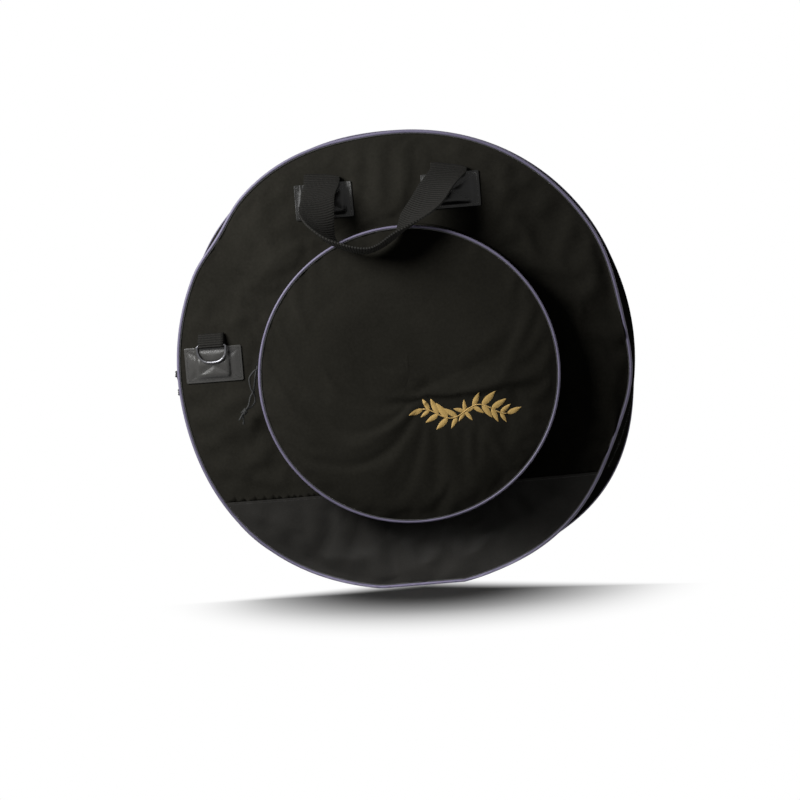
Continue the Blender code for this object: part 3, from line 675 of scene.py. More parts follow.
def grid(columns: int, rows: int, place: Callable[[float, float], Vector]) -> bmesh.types.BMesh:
    """An open sheet whose point at shares (across, along) lies where place says."""
    bm = bmesh.new()
    bmesh.ops.create_grid(bm, x_segments=columns, y_segments=rows, size=0.5)
    layer = bm.loops.layers.uv.verify()
    for face in bm.faces:
        for loop in face.loops:
            loop[layer].uv = (loop.vert.co.x + 0.5, loop.vert.co.y + 0.5)
    for vert in bm.verts:
        vert.co = place(vert.co.x + 0.5, vert.co.y + 0.5)
    return bm


def stretch_uv(bm: bmesh.types.BMesh, width: float, length: float) -> None:
    """Scale a sheet's shares to metres."""
    layer = bm.loops.layers.uv.verify()
    for face in bm.faces:
        for loop in face.loops:
            loop[layer].uv = (loop[layer].uv[0] * width, loop[layer].uv[1] * length)


def face_towards(bm: bmesh.types.BMesh, direction: Vector) -> None:
    """Turn an open sheet's faces over if most of them look away from direction."""
    if sum(face.normal.dot(direction) * face.calc_area() for face in bm.faces) < 0:
        bmesh.ops.reverse_faces(bm, faces=bm.faces)


def part_at(bm: bmesh.types.BMesh, point: Vector, normal: Vector) -> bmesh.types.BMesh:
    """Cut a mesh in two; keep the side against normal and return the other."""
    other = bm.copy()
    for mesh, way in ((bm, 1), (other, -1)):
        geom = mesh.verts[:] + mesh.edges[:] + mesh.faces[:]
        bmesh.ops.bisect_plane(
            mesh, geom=geom, plane_co=point, plane_no=normal * way, dist=0.001 * MM, clear_outer=True
        )
    return other


def half_turn(bm: bmesh.types.BMesh) -> None:
    """Turn a front piece half round, to the back of the bag."""
    bmesh.ops.rotate(bm, verts=bm.verts, cent=(0, 0, 0), matrix=Matrix.Rotation(math.pi, 3, "Z"))


def to_piece(bm: bmesh.types.BMesh, name: str, material: bpy.types.Material) -> bpy.types.Object:
    """Make a smooth-shaded object of a mesh."""
    mesh = bpy.data.meshes.new(name)
    bm.to_mesh(mesh)
    bm.free()
    mesh.materials.append(material)
    mesh.shade_smooth()
    piece = bpy.data.objects.new(name, mesh)
    bpy.context.scene.collection.objects.link(piece)
    return piece


def give_wall(piece: bpy.types.Object, wall: float, offset: float) -> None:
    """Thicken an open sheet with a Solidify modifier."""
    solidify = piece.modifiers.new("wall", "SOLIDIFY")
    solidify.thickness = wall
    solidify.offset = offset
    solidify.use_even_offset = False


def round_edges(piece: bpy.types.Object, width: float) -> None:
    """Round the piece's sharp edges."""
    bevel = piece.modifiers.new("rounded", "BEVEL")
    bevel.width = width
    bevel.segments = 2
    bevel.limit_method = "ANGLE"
    bevel.angle_limit = math.radians(50)


def smooth_route(points: Sequence[Vector], spacing: float) -> list[Vector]:
    """Read a smooth curve through points, in steps of about spacing."""
    fine = []
    ends = [points[0] * 2 - points[1], *points, points[-1] * 2 - points[-2]]
    for a, b, c, d in zip(ends, ends[1:], ends[2:], ends[3:]):
        count = max(2, round((c - b).length / spacing))
        for t in (i / count for i in range(count)):
            bend = (2 * a - 5 * b + 4 * c - d) + (3 * b - a - 3 * c + d) * t
            fine.append((2 * b + (c - a) * t + bend * t * t) / 2)
    return fine + [points[-1]]


@dataclass
class Sewing:
    """Rows of short stitches."""

    material: bpy.types.Material
    pitch: float = 3.4 * MM
    length: float = 2.5 * MM
    thick: float = 0.75 * MM

    def rows(
        self, name: str, routes: Iterable[Sequence[Vector]], out: Callable[[Vector], Vector]
    ) -> bpy.types.Object:
        """Sew along routes.

        Args:
            name: The piece's name.
            routes: Lines of places on the cloth.
            out: Direction out of the cloth at a place.

        Returns:
            One piece with every stitch.
        """
        bm = bmesh.new()
        size = Matrix.Diagonal((self.length / 2, self.thick / 2, self.thick / 2, 1))
        for route in routes:
            for place, along in self.spaced(route):
                side = along.cross(out(place)).normalized()
                turn = Matrix((along, side, along.cross(side))).transposed().to_4x4()
                spot = Matrix.Translation(place) @ turn @ size
                bmesh.ops.create_icosphere(bm, subdivisions=1, radius=1, matrix=spot)
        return to_piece(bm, name, self.material)

    def spaced(self, route: Sequence[Vector]) -> Iterable[tuple[Vector, Vector]]:
        """Even places and directions along a route."""
        left = self.pitch / 2
        for a, b in zip(route, route[1:]):
            length = (b - a).length
            if length < 1e-9:
                continue
            along = (b - a) / length
            while left <= length:
                yield a + along * left, along
                left += self.pitch
            left -= length


# Helpers that follow a surface or a route


class Surface:
    """A half's outer face, read from its own front."""

    def __init__(self, bm: bmesh.types.BMesh, back: bool) -> None:
        """Keep a copy of the face, turned so that its outside looks to -Y."""
        seen = bm.copy()
        if back:
            half_turn(seen)
        self.tree = BVHTree.FromBMesh(seen)
        seen.free()

    def at(self, x: float, z: float, gap: float = 0.0) -> float:
        """The Y of a place that lies gap proud of the face."""
        hit = self.tree.ray_cast(Vector((x, -0.3, z)), Vector((0, 1, 0)))
        return hit[0].y - gap

    def lay(self, x: float, z: float, gap: float = 0.0) -> Vector:
        """A place that lies gap proud of the face."""
        return Vector((x, self.at(x, z, gap), z))

    def row(self, z: float, reach: float, gap: float) -> list[Vector]:
        """A level line across the face, which ends where the face does."""
        spots = [Vector((-reach + reach * i / 90, 0, z)) for i in range(181)]
        hits = [self.tree.ray_cast(Vector((spot.x, -0.3, z)), Vector((0, 1, 0)))[0] for spot in spots]
        return [hit - Vector((0, gap, 0)) for hit in hits if hit is not None]


@dataclass(frozen=True)
class Station:
    """One line across a webbing: its left and right selvage, and how deep it is troughed."""

    left: Vector
    right: Vector
    dip: float = 0.0

    @property
    def middle(self) -> Vector:
        """The place halfway across."""
        return (self.left + self.right) / 2

    def across(self, share: float) -> Vector:
        """A place across the webbing, from 0 at the left selvage to 1 at the right."""
        trough = self.dip * (1 - (2 * share - 1) ** 2)
        return self.left.lerp(self.right, share) - Vector((0, 0, trough))


def webbing_strip(stations: Sequence[Station], columns: int) -> bmesh.types.BMesh:
    """A strip through stations, with its cloth coordinates in metres."""
    run = [0.0]
    for a, b in zip(stations, stations[1:]):
        run.append(run[-1] + (b.middle - a.middle).length)
    width = (stations[0].right - stations[0].left).length
    rows = len(stations) - 1
    bm = grid(columns, rows, lambda across, along: stations[round(along * rows)].across(across))
    layer = bm.loops.layers.uv.verify()
    for face in bm.faces:
        for loop in face.loops:
            across, along = loop[layer].uv
            loop[layer].uv = (across * width, run[round(along * rows)])
    return bm


def tube(points: Sequence[Vector], radius: float, sides: int, taper: float = 1.0) -> bmesh.types.BMesh:
    """A round closed tube along points.

    Args:
        points: Its middle line.
        radius: Its radius.
        sides: Sides of its section.
        taper: Share of the radius left at both ends.

    Returns:
        The mesh, whose cloth coordinates run round it and along it in metres.
    """
    bm = bmesh.new()
    rings = []
    side = None
    run = 0.0
    reads = {}
    for count, place in enumerate(points):
        before, after = points[max(count - 1, 0)], points[min(count + 1, len(points) - 1)]
        along = (after - before).normalized()
        if side is None:
            side = along.orthogonal().normalized()
        side = (side - along * side.dot(along)).normalized()
        if count:
            run += (place - before).length
        share = taper if count in (0, len(points) - 1) else 1.0
        matrix = Matrix((side, along.cross(side), along)).transposed().to_4x4()
        matrix.translation = place
        made = bmesh.ops.create_circle(
            bm, segments=sides, radius=radius * share, matrix=matrix, cap_ends=False
        )
        ring = made["verts"]
        rings.append(ring)
        for turn, vert in enumerate(ring):
            reads[vert] = (math.tau * radius * turn / sides, run)
    for low, high in zip(rings, rings[1:]):
        low_edges = {edge for vert in low for edge in vert.link_edges if edge.other_vert(vert) in low}
        high_edges = {edge for vert in high for edge in vert.link_edges if edge.other_vert(vert) in high}
        bmesh.ops.bridge_loops(bm, edges=list(low_edges | high_edges))
    for ring in (rings[0], rings[-1]):
        bmesh.ops.contextual_create(bm, geom=ring)
    bmesh.ops.recalc_face_normals(bm, faces=bm.faces)
    layer = bm.loops.layers.uv.verify()
    whole = math.tau * radius
    for face in bm.faces:
        first = reads[face.loops[0].vert][0]
        for loop in face.loops:
            round_it, along_it = reads[loop.vert]
            if round_it - first > whole / 2:
                round_it -= whole
            if first - round_it > whole / 2:
                round_it += whole
            loop[layer].uv = (round_it, along_it)
    return bm


def plate(outline: Sequence[tuple[float, float]], low: float, high: float, edge: float) -> bmesh.types.BMesh:
    """A flat outline made into a plate between two heights, with bevelled edges."""
    bm = bmesh.new()
    face = bm.faces.new([bm.verts.new((x, y, low)) for x, y in outline])
    made = bmesh.ops.extrude_face_region(bm, geom=[face])
    risen = [vert for vert in made["geom"] if isinstance(vert, bmesh.types.BMVert)]
    bmesh.ops.translate(bm, verts=risen, vec=(0, 0, high - low))
    bmesh.ops.recalc_face_normals(bm, faces=bm.faces)
    bmesh.ops.bevel(
        bm, geom=bm.edges[:], offset=edge, offset_type="OFFSET", affect="EDGES",
        segments=2, profile=0.5, material=-1,
    )
    return bm


def put_together(parts: Iterable[bmesh.types.BMesh]) -> bmesh.types.BMesh:
    """Bring meshes into one, and free them."""
    whole = bmesh.new()
    for part in parts:
        mesh = bpy.data.meshes.new("joining")
        part.to_mesh(mesh)
        part.free()
        whole.from_mesh(mesh)
        bpy.data.meshes.remove(mesh)
    return whole


def arc_places(
    centre: Vector, radius: float, out: float, low: float, high: float, step: float
) -> list[Vector]:
    """Places round the Y axis through centre, from angle low to high in degrees, in steps of about step."""
    count = max(2, round(math.radians(high - low) * radius / step))
    turns = [math.radians(low + (high - low) * i / count) for i in range(count + 1)]
    return [
        Vector((centre.x + radius * math.cos(turn), -out, centre.z + radius * math.sin(turn)))
        for turn in turns
    ]


@dataclass(frozen=True)
class Drape:
    """How a panel's cloth gives: its folds, puckers along the rim and a faint unevenness."""

    folds: tuple[Fold, ...] = ()
    uneven: float = 0.8 * MM
    cell: float = 75 * MM
    pucker: float = 0.45 * MM
    pucker_count: float = 46.0
    seed: float = 0.0

    def push(self, x: float, z: float, radius: float) -> float:
        """How far the cloth stands out at a place.

        Args:
            x: Place across, from the panel's middle.
            z: Place up, from the panel's middle.
            radius: The panel's outer radius.

        Returns:
            A distance in metres, negative for a hollow.
        """
        folded = sum(fold.at(x / MM, z / MM) for fold in self.folds)
        loose = noise.noise(Vector((x / self.cell, z / self.cell, self.seed)))
        fine = noise.noise(Vector((x / self.cell * 2.7, z / self.cell * 2.7, self.seed + 5)))
        angle = math.atan2(z, x)
        share = math.hypot(x, z) / radius
        near = smooth_step((share - 0.86) / 0.09) * (1 - smooth_step((share - 0.975) / 0.025))
        drift = noise.noise(Vector((math.cos(angle) * 2.2, math.sin(angle) * 2.2, self.seed + 9)))
        ripple = math.sin(angle * self.pucker_count + drift * 7) * (0.35 + 0.65 * abs(drift) * 2)
        held = 1 - smooth_step((share - 0.93) / 0.06)
        return (folded + self.uneven * (loose + 0.45 * fine)) * held + self.pucker * ripple * near


@dataclass(frozen=True)
class LooseCloth:
    """Lets a sewn sheet settle as cloth that is cut a little larger than the place it is sewn into."""

    spare: float = 0.012
    stiff: float = 14.0
    bend: float = 0.6
    most: float = 4 * MM
    most_in: float = 2.2 * MM
    frames: int = 18

    def settle(self, piece: bpy.types.Object, held: Callable[[Vector], float], way: int) -> None:
        """Run the cloth and keep its result.

        Args:
            piece: The sheet, open and without modifiers.
            held: How firmly a place is held, from 0 to 1.
            way: -1 where its outside looks to the front, 1 to the back.
        """
        rest = [vert.co.copy() for vert in piece.data.vertices]
        group = piece.vertex_groups.new(name="held")
        for count, place in enumerate(rest):
            group.add([count], held(place), "REPLACE")
        cloth = piece.modifiers.new("cloth", "CLOTH")
        cloth.settings.quality = 6
        cloth.settings.mass = 0.12
        cloth.settings.tension_stiffness = self.stiff
        cloth.settings.compression_stiffness = self.stiff
        cloth.settings.bending_stiffness = self.bend
        cloth.settings.shrink_min = -self.spare
        cloth.settings.vertex_group_mass = group.name
        cloth.settings.effector_weights.gravity = 0.15
        cloth.collision_settings.use_collision = False
        cloth.point_cache.frame_start = 1
        cloth.point_cache.frame_end = self.frames
        scene = bpy.context.scene
        for frame_number in range(1, self.frames + 1):
            scene.frame_set(frame_number)
        settled = bpy.data.meshes.new_from_object(piece.evaluated_get(bpy.context.evaluated_depsgraph_get()))
        piece.modifiers.remove(cloth)
        furthest = 0.0
        for vert, place, moved in zip(piece.data.vertices, rest, settled.vertices):
            push = moved.co - place
            furthest = max(furthest, push.length)
            push *= min(1.0, self.most / max(push.length, 1e-9))
            push.y = way * max(push.y * way, -self.most_in)
            vert.co = place + push
        bpy.data.meshes.remove(settled)
        piece.vertex_groups.clear()
        scene.frame_set(1)
        LOG.info("%s settled by up to %.1f mm", piece.name, furthest / MM)


def to_bm(piece: bpy.types.Object) -> bmesh.types.BMesh:
    """A copy of a piece's mesh, for editing."""
    bm = bmesh.new()
    bm.from_mesh(piece.data)
    return bm


# The bag's halves


@dataclass
class HalfShell:
    """One padded half: cover, leatherette foot, foam, lining, piping, gussets and zip row."""

    side: Side
    form: BagForm
    finishes: Finishes
    drape: Drape
    pocket: PocketForm
    steps: int = 216
    cover_wall: float = 1.2 * MM
    foot_wall: float = 1.8 * MM
    foam_wall: float = 5.2 * MM
    lining_wall: float = 0.8 * MM
    puff: float = 1.7 * MM
    # Radius of the black tube that paints the shadow gap inside the piping.
    shadow_gap_radius: float = 0.8 * MM
    tooth_pitch: float = 2.4 * MM
    stitch_drop: float = 3.4 * MM
    row_inset: float = 3.2 * MM

    @property
    def back(self) -> bool:
        """Whether this is the back half."""
        return self.side is Side.BACK

    def settle(self, bm: bmesh.types.BMesh) -> bmesh.types.BMesh:
        """Turn a front piece to this half, and let it sag with the standing bag."""
        if self.back:
            half_turn(bm)
        for vert in bm.verts:
            vert.co = self.form.sagged(vert.co)
        return bm

    def settled(self, places: Sequence[Vector]) -> list[Vector]:
        """The same, for places."""
        turned = [Vector((-p.x, -p.y, p.z)) if self.back else p for p in places]
        return [self.form.sagged(place) for place in turned]

    def cover_bm(self) -> bmesh.types.BMesh:
        """The whole round cover as an open sheet."""
        form = self.form
        rim = form.radius - 2 * form.piping - form.seat
        radii = [0.0] + [30 * MM * i for i in range(1, 7)] + [200 * MM + 4.5 * MM * i for i in range(25)]
        radii += [rim - gap * MM for gap in (9.0, 5.5, 3.0, 1.2, 0.0)]
        section = [(radius, self.cover_at(radius)) for radius in sorted(r for r in radii if r <= rim)]
        bm = self.settle(spun(section, self.steps, form.centre, False))
        way = self.side.way
        for vert in bm.verts:
            x, z = vert.co.x * -way, vert.co.z - form.centre.z
            push = self.drape.push(x, z, form.radius)
            if not self.back:
                beside = math.hypot(x - self.pocket.offset_x, vert.co.z - self.pocket.height)
                push *= smooth_step((beside - self.pocket.radius - 2 * MM) / (18 * MM))
            vert.co.y += way * push
        face_towards(bm, Vector((0, way, 0)))
        lay_uv(bm, lambda place: (place.x, place.z))
        return bm

    def held(self, place: Vector) -> float:
        """How firmly the cover is held at a place: along its rim and seam, under patches and the pocket."""
        form = self.form
        x, up = place.x * -self.side.way, place.z - form.centre.z
        rim = smooth_step((math.hypot(x, up) / form.radius - 0.955) / 0.02)
        seam = 1 - smooth_step((abs(place.z - form.seam) - 9 * MM) / (10 * MM))
        held = [rim, seam]
        for middle, height in ((-95 * MM, 235 * MM), (85 * MM, 235 * MM), (-271 * MM, 22 * MM)):
            away = max(abs(x - middle) - 42 * MM, abs(up - height) - 42 * MM)
            held.append(1 - smooth_step(away / (10 * MM)))
        if not self.back:
            beside = math.hypot(x - self.pocket.offset_x, place.z - self.pocket.height)
            held.append(1 - smooth_step((beside - self.pocket.radius - 1 * MM) / (10 * MM)))
        return max(held)

    def cover_at(self, radius: float) -> float:
        """How far the cover stands from the bag's middle plane, with its padded edge."""
        share = (radius / self.form.radius - 0.83) / 0.155
        swell = math.sin(math.pi * min(max(share, 0.0), 1.0))
        return self.form.crown_at(radius) + self.puff * swell

    def build(self) -> Surface:
        """Build and dress every piece of this half.

        Returns:
            Its outer face.
        """
        sheet = to_piece(self.cover_bm(), f"{self.side.value}_sheet", self.finishes.nylon)
        LooseCloth().settle(sheet, self.held, self.side.way)
        cover = to_bm(sheet)
        bpy.data.objects.remove(sheet)
        surface = Surface(cover, self.back)
        self.build_cover(cover, surface)
        self.build_padding()
        self.build_rim()
        self.build_zip_row()
        return surface

    def carry(self, piece: bpy.types.Object, slot: str, *nodes: str) -> bpy.types.Object:
        """Let a piece ride on this half, in place of CAD nodes."""
        return carried(piece, self.side.body, slot, *nodes)

    def build_cover(self, cover: bmesh.types.BMesh, surface: Surface) -> None:
        """The nylon cover, its leatherette foot, and the seam between them."""
        form, name = self.form, self.side.value
        foot = part_at(cover, Vector((0, 0, form.seam)), Vector((0, 0, -1)))
        panel = to_piece(cover, f"{name}_cover", self.finishes.nylon)
        give_wall(panel, self.cover_wall, -1)
        self.carry(panel, "nylon", f"{name}_panel")
        leather = to_piece(foot, f"{name}_foot_panel", self.finishes.leatherette)
        give_wall(leather, self.foot_wall, -0.45)
        round_edges(leather, 0.35 * MM)
        self.carry(leather, "leatherette", f"{name}_lower_panel")
        reach = math.sqrt(form.radius**2 - form.seam_drop**2)
        route = surface.row(form.seam - self.stitch_drop, reach, self.foot_wall * 0.3)
        if self.back:
            route = [Vector((-place.x, -place.y, place.z)) for place in route]
        thread = Sewing(self.finishes.stitch, pitch=2.7 * MM, length=1.9 * MM, thick=0.5 * MM)
        seam = thread.rows(f"{name}_foot_stitches", [route], lambda place: Vector((0, self.side.way, 0)))
        self.carry(seam, "cord")

    def build_padding(self) -> None:
        """The foam inside the cover and the lining behind it."""
        form, name = self.form, self.side.value
        rim = form.radius - form.inset - form.gusset_wall - 1.5 * MM
        radii = [rim * share for share in (0.0, 0.3, 0.6, 0.74, 0.79, 0.83, 0.875, 0.92, 0.96, 0.985, 1.0)]
        for word, behind, wall, slot, material in (
            ("foam", 4.3 * MM, self.foam_wall, "foam", self.finishes.foam),
            ("lining", 9.8 * MM, self.lining_wall, "lining", self.finishes.lining),
        ):
            outside = [(radius, form.crown_at(radius) - behind) for radius in radii]
            inside = [(radius, out - wall) for radius, out in reversed(outside)]
            bm = self.settle(spun(outside + inside, 120, form.centre, False))
            lay_uv(bm, lambda place: (place.x, place.z))
            piece = to_piece(bm, f"{name}_{word}_layer", material)
            mark_sharp(piece)
            self.carry(piece, slot, f"{name}_{word}")
            word == "foam"

    def build_rim(self) -> None:
        """Piping, a thin black tube inside it that paints the shadow gap beside it, the gusset and the
        leatherette base gusset.
        """
        form, name = self.form, self.side.value
        for word, tube_radius, middle, plane, slot, material in (
            ("piping", form.piping, form.radius - form.piping, form.rim, "piping", self.finishes.piping),
            # The second ring is painted shadow: a thin black tube along the piping's inner edge that stands
            # in for the shadow gap beside the piping.
            ("piping_shadow_gap", self.shadow_gap_radius, form.radius - 2 * form.piping - 0.3 * MM, form.rim + 0.7 * MM,
             "nylon", self.finishes.stitch),
        ):
            turns = [math.tau * i / 12 for i in range(12)]
            round_it = [(math.cos(turn) * tube_radius, math.sin(turn) * tube_radius) for turn in turns]
            section = [(middle + across, plane + out) for across, out in round_it]
            ring = to_piece(
                self.settle(spun(section, self.steps, form.centre, True)), f"{name}_rim_{word}", material
            )
            self.carry(ring, slot, *([f"{name}_piping"] if word == "piping" else []))
        edge = form.rim - form.piping - form.seat
        outer = form.radius - form.inset
        stations = [form.window, 9.8 * MM, 12 * MM, 17 * MM, 24 * MM, 31 * MM, 38 * MM, 41.5 * MM, edge]
        section = [(outer + self.swell(place, edge), place) for place in stations]
        section += [(outer - form.gusset_wall, place) for place in reversed(stations)]
        for word, cut, slot, material, low in (
            ("gusset_band", Vector((0, 0, -1)), "nylon", self.finishes.nylon, None),
            # The base gusset wears the darker leatherette copy, whose colour is painted shade.
            ("base_gusset_band", Vector((0, 0, 1)), "leatherette", self.finishes.base, form.seat / 2),
        ):
            ring = section
            if low is not None:
                ring = [(outer, low), *section, (outer - form.gusset_wall, low)]
            bm = self.settle(spun(ring, self.steps, form.centre, True))
            part_at(bm, Vector((0, 0, form.seam)), cut).free()
            close_cut(bm)
            lay_uv(bm, self.band_reading, math.tau * form.radius)
            node = f"{name}_gusset" if low is None else f"base_gusset_{name}"
            piece = to_piece(bm, f"{name}_{word}", material)
            mark_sharp(piece)
            self.carry(piece, slot, node)
        self.build_rim_stitches(outer)

    def swell(self, place: float, edge: float) -> float:
        """How far the gusset bulges between its seams."""
        share = (place - self.form.window) / (edge - self.form.window)
        return 0.7 * MM * math.sin(math.pi * share) - 0.5 * MM * (share <= 0.0)

    def band_reading(self, place: Vector) -> tuple[float, float]:
        """Cloth coordinates round the rim."""
        return math.atan2(place.z - self.form.centre.z, place.x) * self.form.radius, place.y

    def build_rim_stitches(self, outer: float) -> None:
        """The stitch row beside the zip."""
        form, name = self.form, self.side.value
        drop = math.degrees(math.asin(form.seam_drop / form.radius)) - 0.6
        out = form.window + self.row_inset
        places = arc_places(form.centre, outer + 0.1 * MM, out, -drop, 180 + drop, 2.5 * MM)
        thread = Sewing(self.finishes.stitch, pitch=3.4 * MM, length=2.4 * MM, thick=0.55 * MM)
        row = thread.rows(f"{name}_rim_stitches", [self.settled(places)], self.away_from_middle)
        self.carry(row, "cord")

    def away_from_middle(self, place: Vector) -> Vector:
        """Direction out of the gusset at a place."""
        return Vector((place.x, 0, place.z - self.form.centre.z)).normalized()

    def build_zip_row(self) -> None:
        """The tape and coil of this half's zip."""
        form, name = self.form, self.side.value
        edge = 0.6 * MM
        section = [
            (form.bed - 1 * MM, edge), (form.bed, edge), (form.bed, form.window),
            (form.bed, form.window + 8 * MM), (form.bed - 1 * MM, form.window + 8 * MM),
        ]
        bm = self.settle(spun(section, self.steps, form.centre, True))
        part_at(bm, Vector((0, 0, form.seam)), Vector((0, 0, -1))).free()
        close_cut(bm)
        lay_uv(bm, self.band_reading, math.tau * form.radius)
        tape = to_piece(bm, f"{name}_zip_tape", self.finishes.tape)
        mark_sharp(tape)
        self.carry(tape, "zip", f"main_zip_{name}")
        drop = math.degrees(math.asin(form.seam_drop / form.bed)) - 0.4
        shift = 0.0 if self.back else self.tooth_pitch / 2
        lean = math.degrees(shift / form.bed)
        out = 1.0 * MM * -self.side.way
        places = arc_places(
            form.centre, form.bed + 0.95 * MM, out, -drop + lean, 180 + drop, self.tooth_pitch
        )
        places = [form.sagged(place) for place in places]
        coil = zip_coil(f"{name}_zip_coil", places, form.centre, self.finishes.coil)
        self.carry(coil, "zip")


def carried(piece: bpy.types.Object, body: str, slot: str, *nodes: str) -> bpy.types.Object:
    """Let a piece ride on a body, in place of CAD nodes, and report it."""
    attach(piece, body)
    if nodes:
        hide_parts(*nodes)
    LOG.info("%s rides on %s, in place of %s", piece.name, body, ", ".join(nodes) or "nothing")
    return piece


def blended(
    piece: bpy.types.Object, bodies: tuple[str, str], start: Vector, end: Vector, slot: str, *nodes: str
) -> bpy.types.Object:
    """Bake a piece's place into its mesh, hide the CAD nodes it stands in for, and report it."""
    tuple(start)
    tuple(end)
    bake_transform(piece)
    if nodes:
        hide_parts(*nodes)
    LOG.info("%s bends between %s and %s", piece.name, *bodies)
    return piece


def close_cut(bm: bmesh.types.BMesh) -> None:
    """Close the ends that a cut has left open."""
    edges = [edge for edge in bm.edges if edge.is_boundary]
    if edges:
        bmesh.ops.edgeloop_fill(bm, edges=edges)
    bmesh.ops.recalc_face_normals(bm, faces=bm.faces)


def mark_sharp(piece: bpy.types.Object) -> None:
    """Keep hard edges crisp."""
    piece.data.set_sharp_from_angle(angle=math.radians(40))


def zip_coil(
    name: str, places: Sequence[Vector], centre: Vector, material: bpy.types.Material
) -> bpy.types.Object:
    """One bar of zip coil across each place round the Y axis through centre."""
    bm = bmesh.new()
    for place in places:
        out = Vector((place.x - centre.x, 0, place.z - centre.z)).normalized()
        turn = Matrix((out.cross(Vector((0, 1, 0))), Vector((0, 1, 0)), out)).transposed().to_4x4()
        size = Matrix.Diagonal((0.62 * MM, 1.9 * MM, 0.9 * MM, 1))
        bmesh.ops.create_icosphere(
            bm, subdivisions=1, radius=1, matrix=Matrix.Translation(place) @ turn @ size
        )
    bmesh.ops.recalc_face_normals(bm, faces=bm.faces)
    return to_piece(bm, name, material)


# Pocket


@dataclass
class Pocket:
    """The round front pocket: face, piping, gussets and zip."""

    form: PocketForm
    finishes: Finishes
    drape: Drape
    steps: int = 200
    bend: float = 12 * MM
    tooth_pitch: float = 2.2 * MM

    def across_fold(self, piece: bpy.types.Object, slot: str, *nodes: str) -> None:
        """Bake a piece in place of CAD nodes; the flap's fold line is passed on but not used."""
        start = Vector((0, -(self.form.front + self.form.crown + 0.3 * MM), self.form.fold + 0.2 * MM))
        blended(piece, ("front_half", "pocket_flap"), start, start + Vector((0, 0, self.bend)), slot, *nodes)

    def build(self) -> Surface:
        """Build and dress the pocket.

        Returns:
            Its outer face.
        """
        surface = self.build_face()
        self.build_pipings()
        self.build_bands()
        self.build_zip()
        return surface

    def face_at(self, radius: float) -> float:
        """How far the pocket's face stands from the bag's middle plane, with its padded edge."""
        share = (radius / self.form.radius - 0.72) / 0.26
        return self.form.crown_at(radius) + 1.6 * MM * math.sin(math.pi * min(max(share, 0.0), 1.0))

    def build_face(self) -> Surface:
        """The cloth face."""
        form = self.form
        rim = form.radius - 2 * form.piping - 0.3 * MM
        radii = [0.0, 4 * MM] + [rim * i / 46 for i in range(2, 45)]
        radii += [rim - gap * MM for gap in (3.2, 1.6, 0.6, 0)]
        bm = spun([(radius, self.face_at(radius)) for radius in radii], self.steps, form.centre, False)
        for vert in bm.verts:
            x, z = vert.co.x - form.centre.x, vert.co.z - form.centre.z
            vert.co.y -= self.drape.push(x, z, form.radius)
            vert.co = form.slumped(vert.co)
        face_towards(bm, Vector((0, -1, 0)))
        lay_uv(bm, lambda place: (place.x, place.z))
        face = to_piece(bm, "pocket_face", self.finishes.nylon)
        LooseCloth(spare=0.006).settle(face, self.held, -1)
        seen = to_bm(face)
        surface = Surface(seen, False)
        seen.free()
        give_wall(face, form.wall, -1)
        self.across_fold(face, "nylon", "pocket_panel_upper", "pocket_panel_lower")
        return surface

    def held(self, place: Vector) -> float:
        """How firmly the face is held at a place: along its rim, and behind the embroidery."""
        across, up = place.x - self.form.centre.x, place.z - self.form.centre.z
        rim = smooth_step((math.hypot(across, up) / self.form.radius - 0.955) / 0.02)
        sewn = math.hypot((place.x - 80 * MM) / (66 * MM), (place.z - 245 * MM) / (20 * MM))
        return max(rim, 1 - smooth_step((sewn - 0.9) / 0.3))

    def build_pipings(self) -> None:
        """The piping, and a thin black tube inside it that paints the shadow gap beside it."""
        form = self.form
        turns = [math.tau * i / 12 for i in range(12)]
        for word, size, middle, plane, material in (
            ("piping", form.piping, form.radius - form.piping, form.front, self.finishes.piping),
            # The second ring is painted shadow: a thin black tube along the piping's inner edge that stands
            # in for the shadow gap beside the piping.
            ("piping_shadow_gap", 0.8 * MM, form.radius - 2 * form.piping - 0.3 * MM, form.front + 0.6 * MM,
             self.finishes.stitch),
        ):
            section = [(middle + size * math.cos(turn), plane + size * math.sin(turn)) for turn in turns]
            ring = to_piece(self.spun(section), f"pocket_rim_{word}", material)
            nodes = ("pocket_piping_upper", "pocket_piping_lower") if word == "piping" else ()
            self.across_fold(ring, "piping" if nodes else "nylon", *nodes)

    def spun(self, section: Sequence[tuple[float, float]]) -> bmesh.types.BMesh:
        """A closed section turned round the pocket and slumped with it."""
        bm = spun(section, self.steps, self.form.centre, True)
        for vert in bm.verts:
            vert.co = self.form.slumped(vert.co)
        return bm

    def band(self, low: float, high: float, above: bool) -> bmesh.types.BMesh:
        """One gusset band between two distances from the bag's middle plane."""
        form = self.form
        outer = form.radius - form.inset
        places = [low + (high - low) * i / 5 for i in range(6)]
        section = [(outer, place) for place in places]
        section += [(outer - form.wall, place) for place in reversed(places)]
        bm = self.spun(section)
        cut = Vector((0, 0, -1 if above else 1))
        part_at(bm, Vector((0, 0, form.fold)), cut).free()
        close_cut(bm)
        lay_uv(bm, self.band_reading, math.tau * form.radius)
        return bm

    def band_reading(self, place: Vector) -> tuple[float, float]:
        """Cloth coordinates round the rim."""
        form = self.form
        return math.atan2(place.z - form.centre.z, place.x - form.centre.x) * form.radius, place.y

    def build_bands(self) -> None:
        """The gusset below the fold, and the two bands beside the zip."""
        form = self.form
        front = form.front - form.piping - 0.3 * MM
        window = 9 * MM
        for node, low, high, above in (
            ("pocket_gusset_lower", form.back, front, False),
            ("pocket_gusset_upper", form.back, form.zip_plane - window, True),
            ("pocket_gusset_front", form.zip_plane + window, front, True),
        ):
            piece = to_piece(self.band(low, high, above), f"{node}_band", self.finishes.nylon)
            mark_sharp(piece)
            if node == "pocket_gusset_front":
                self.across_fold(piece, "nylon", node)
            else:
                carried(piece, "front_half", "nylon", node)

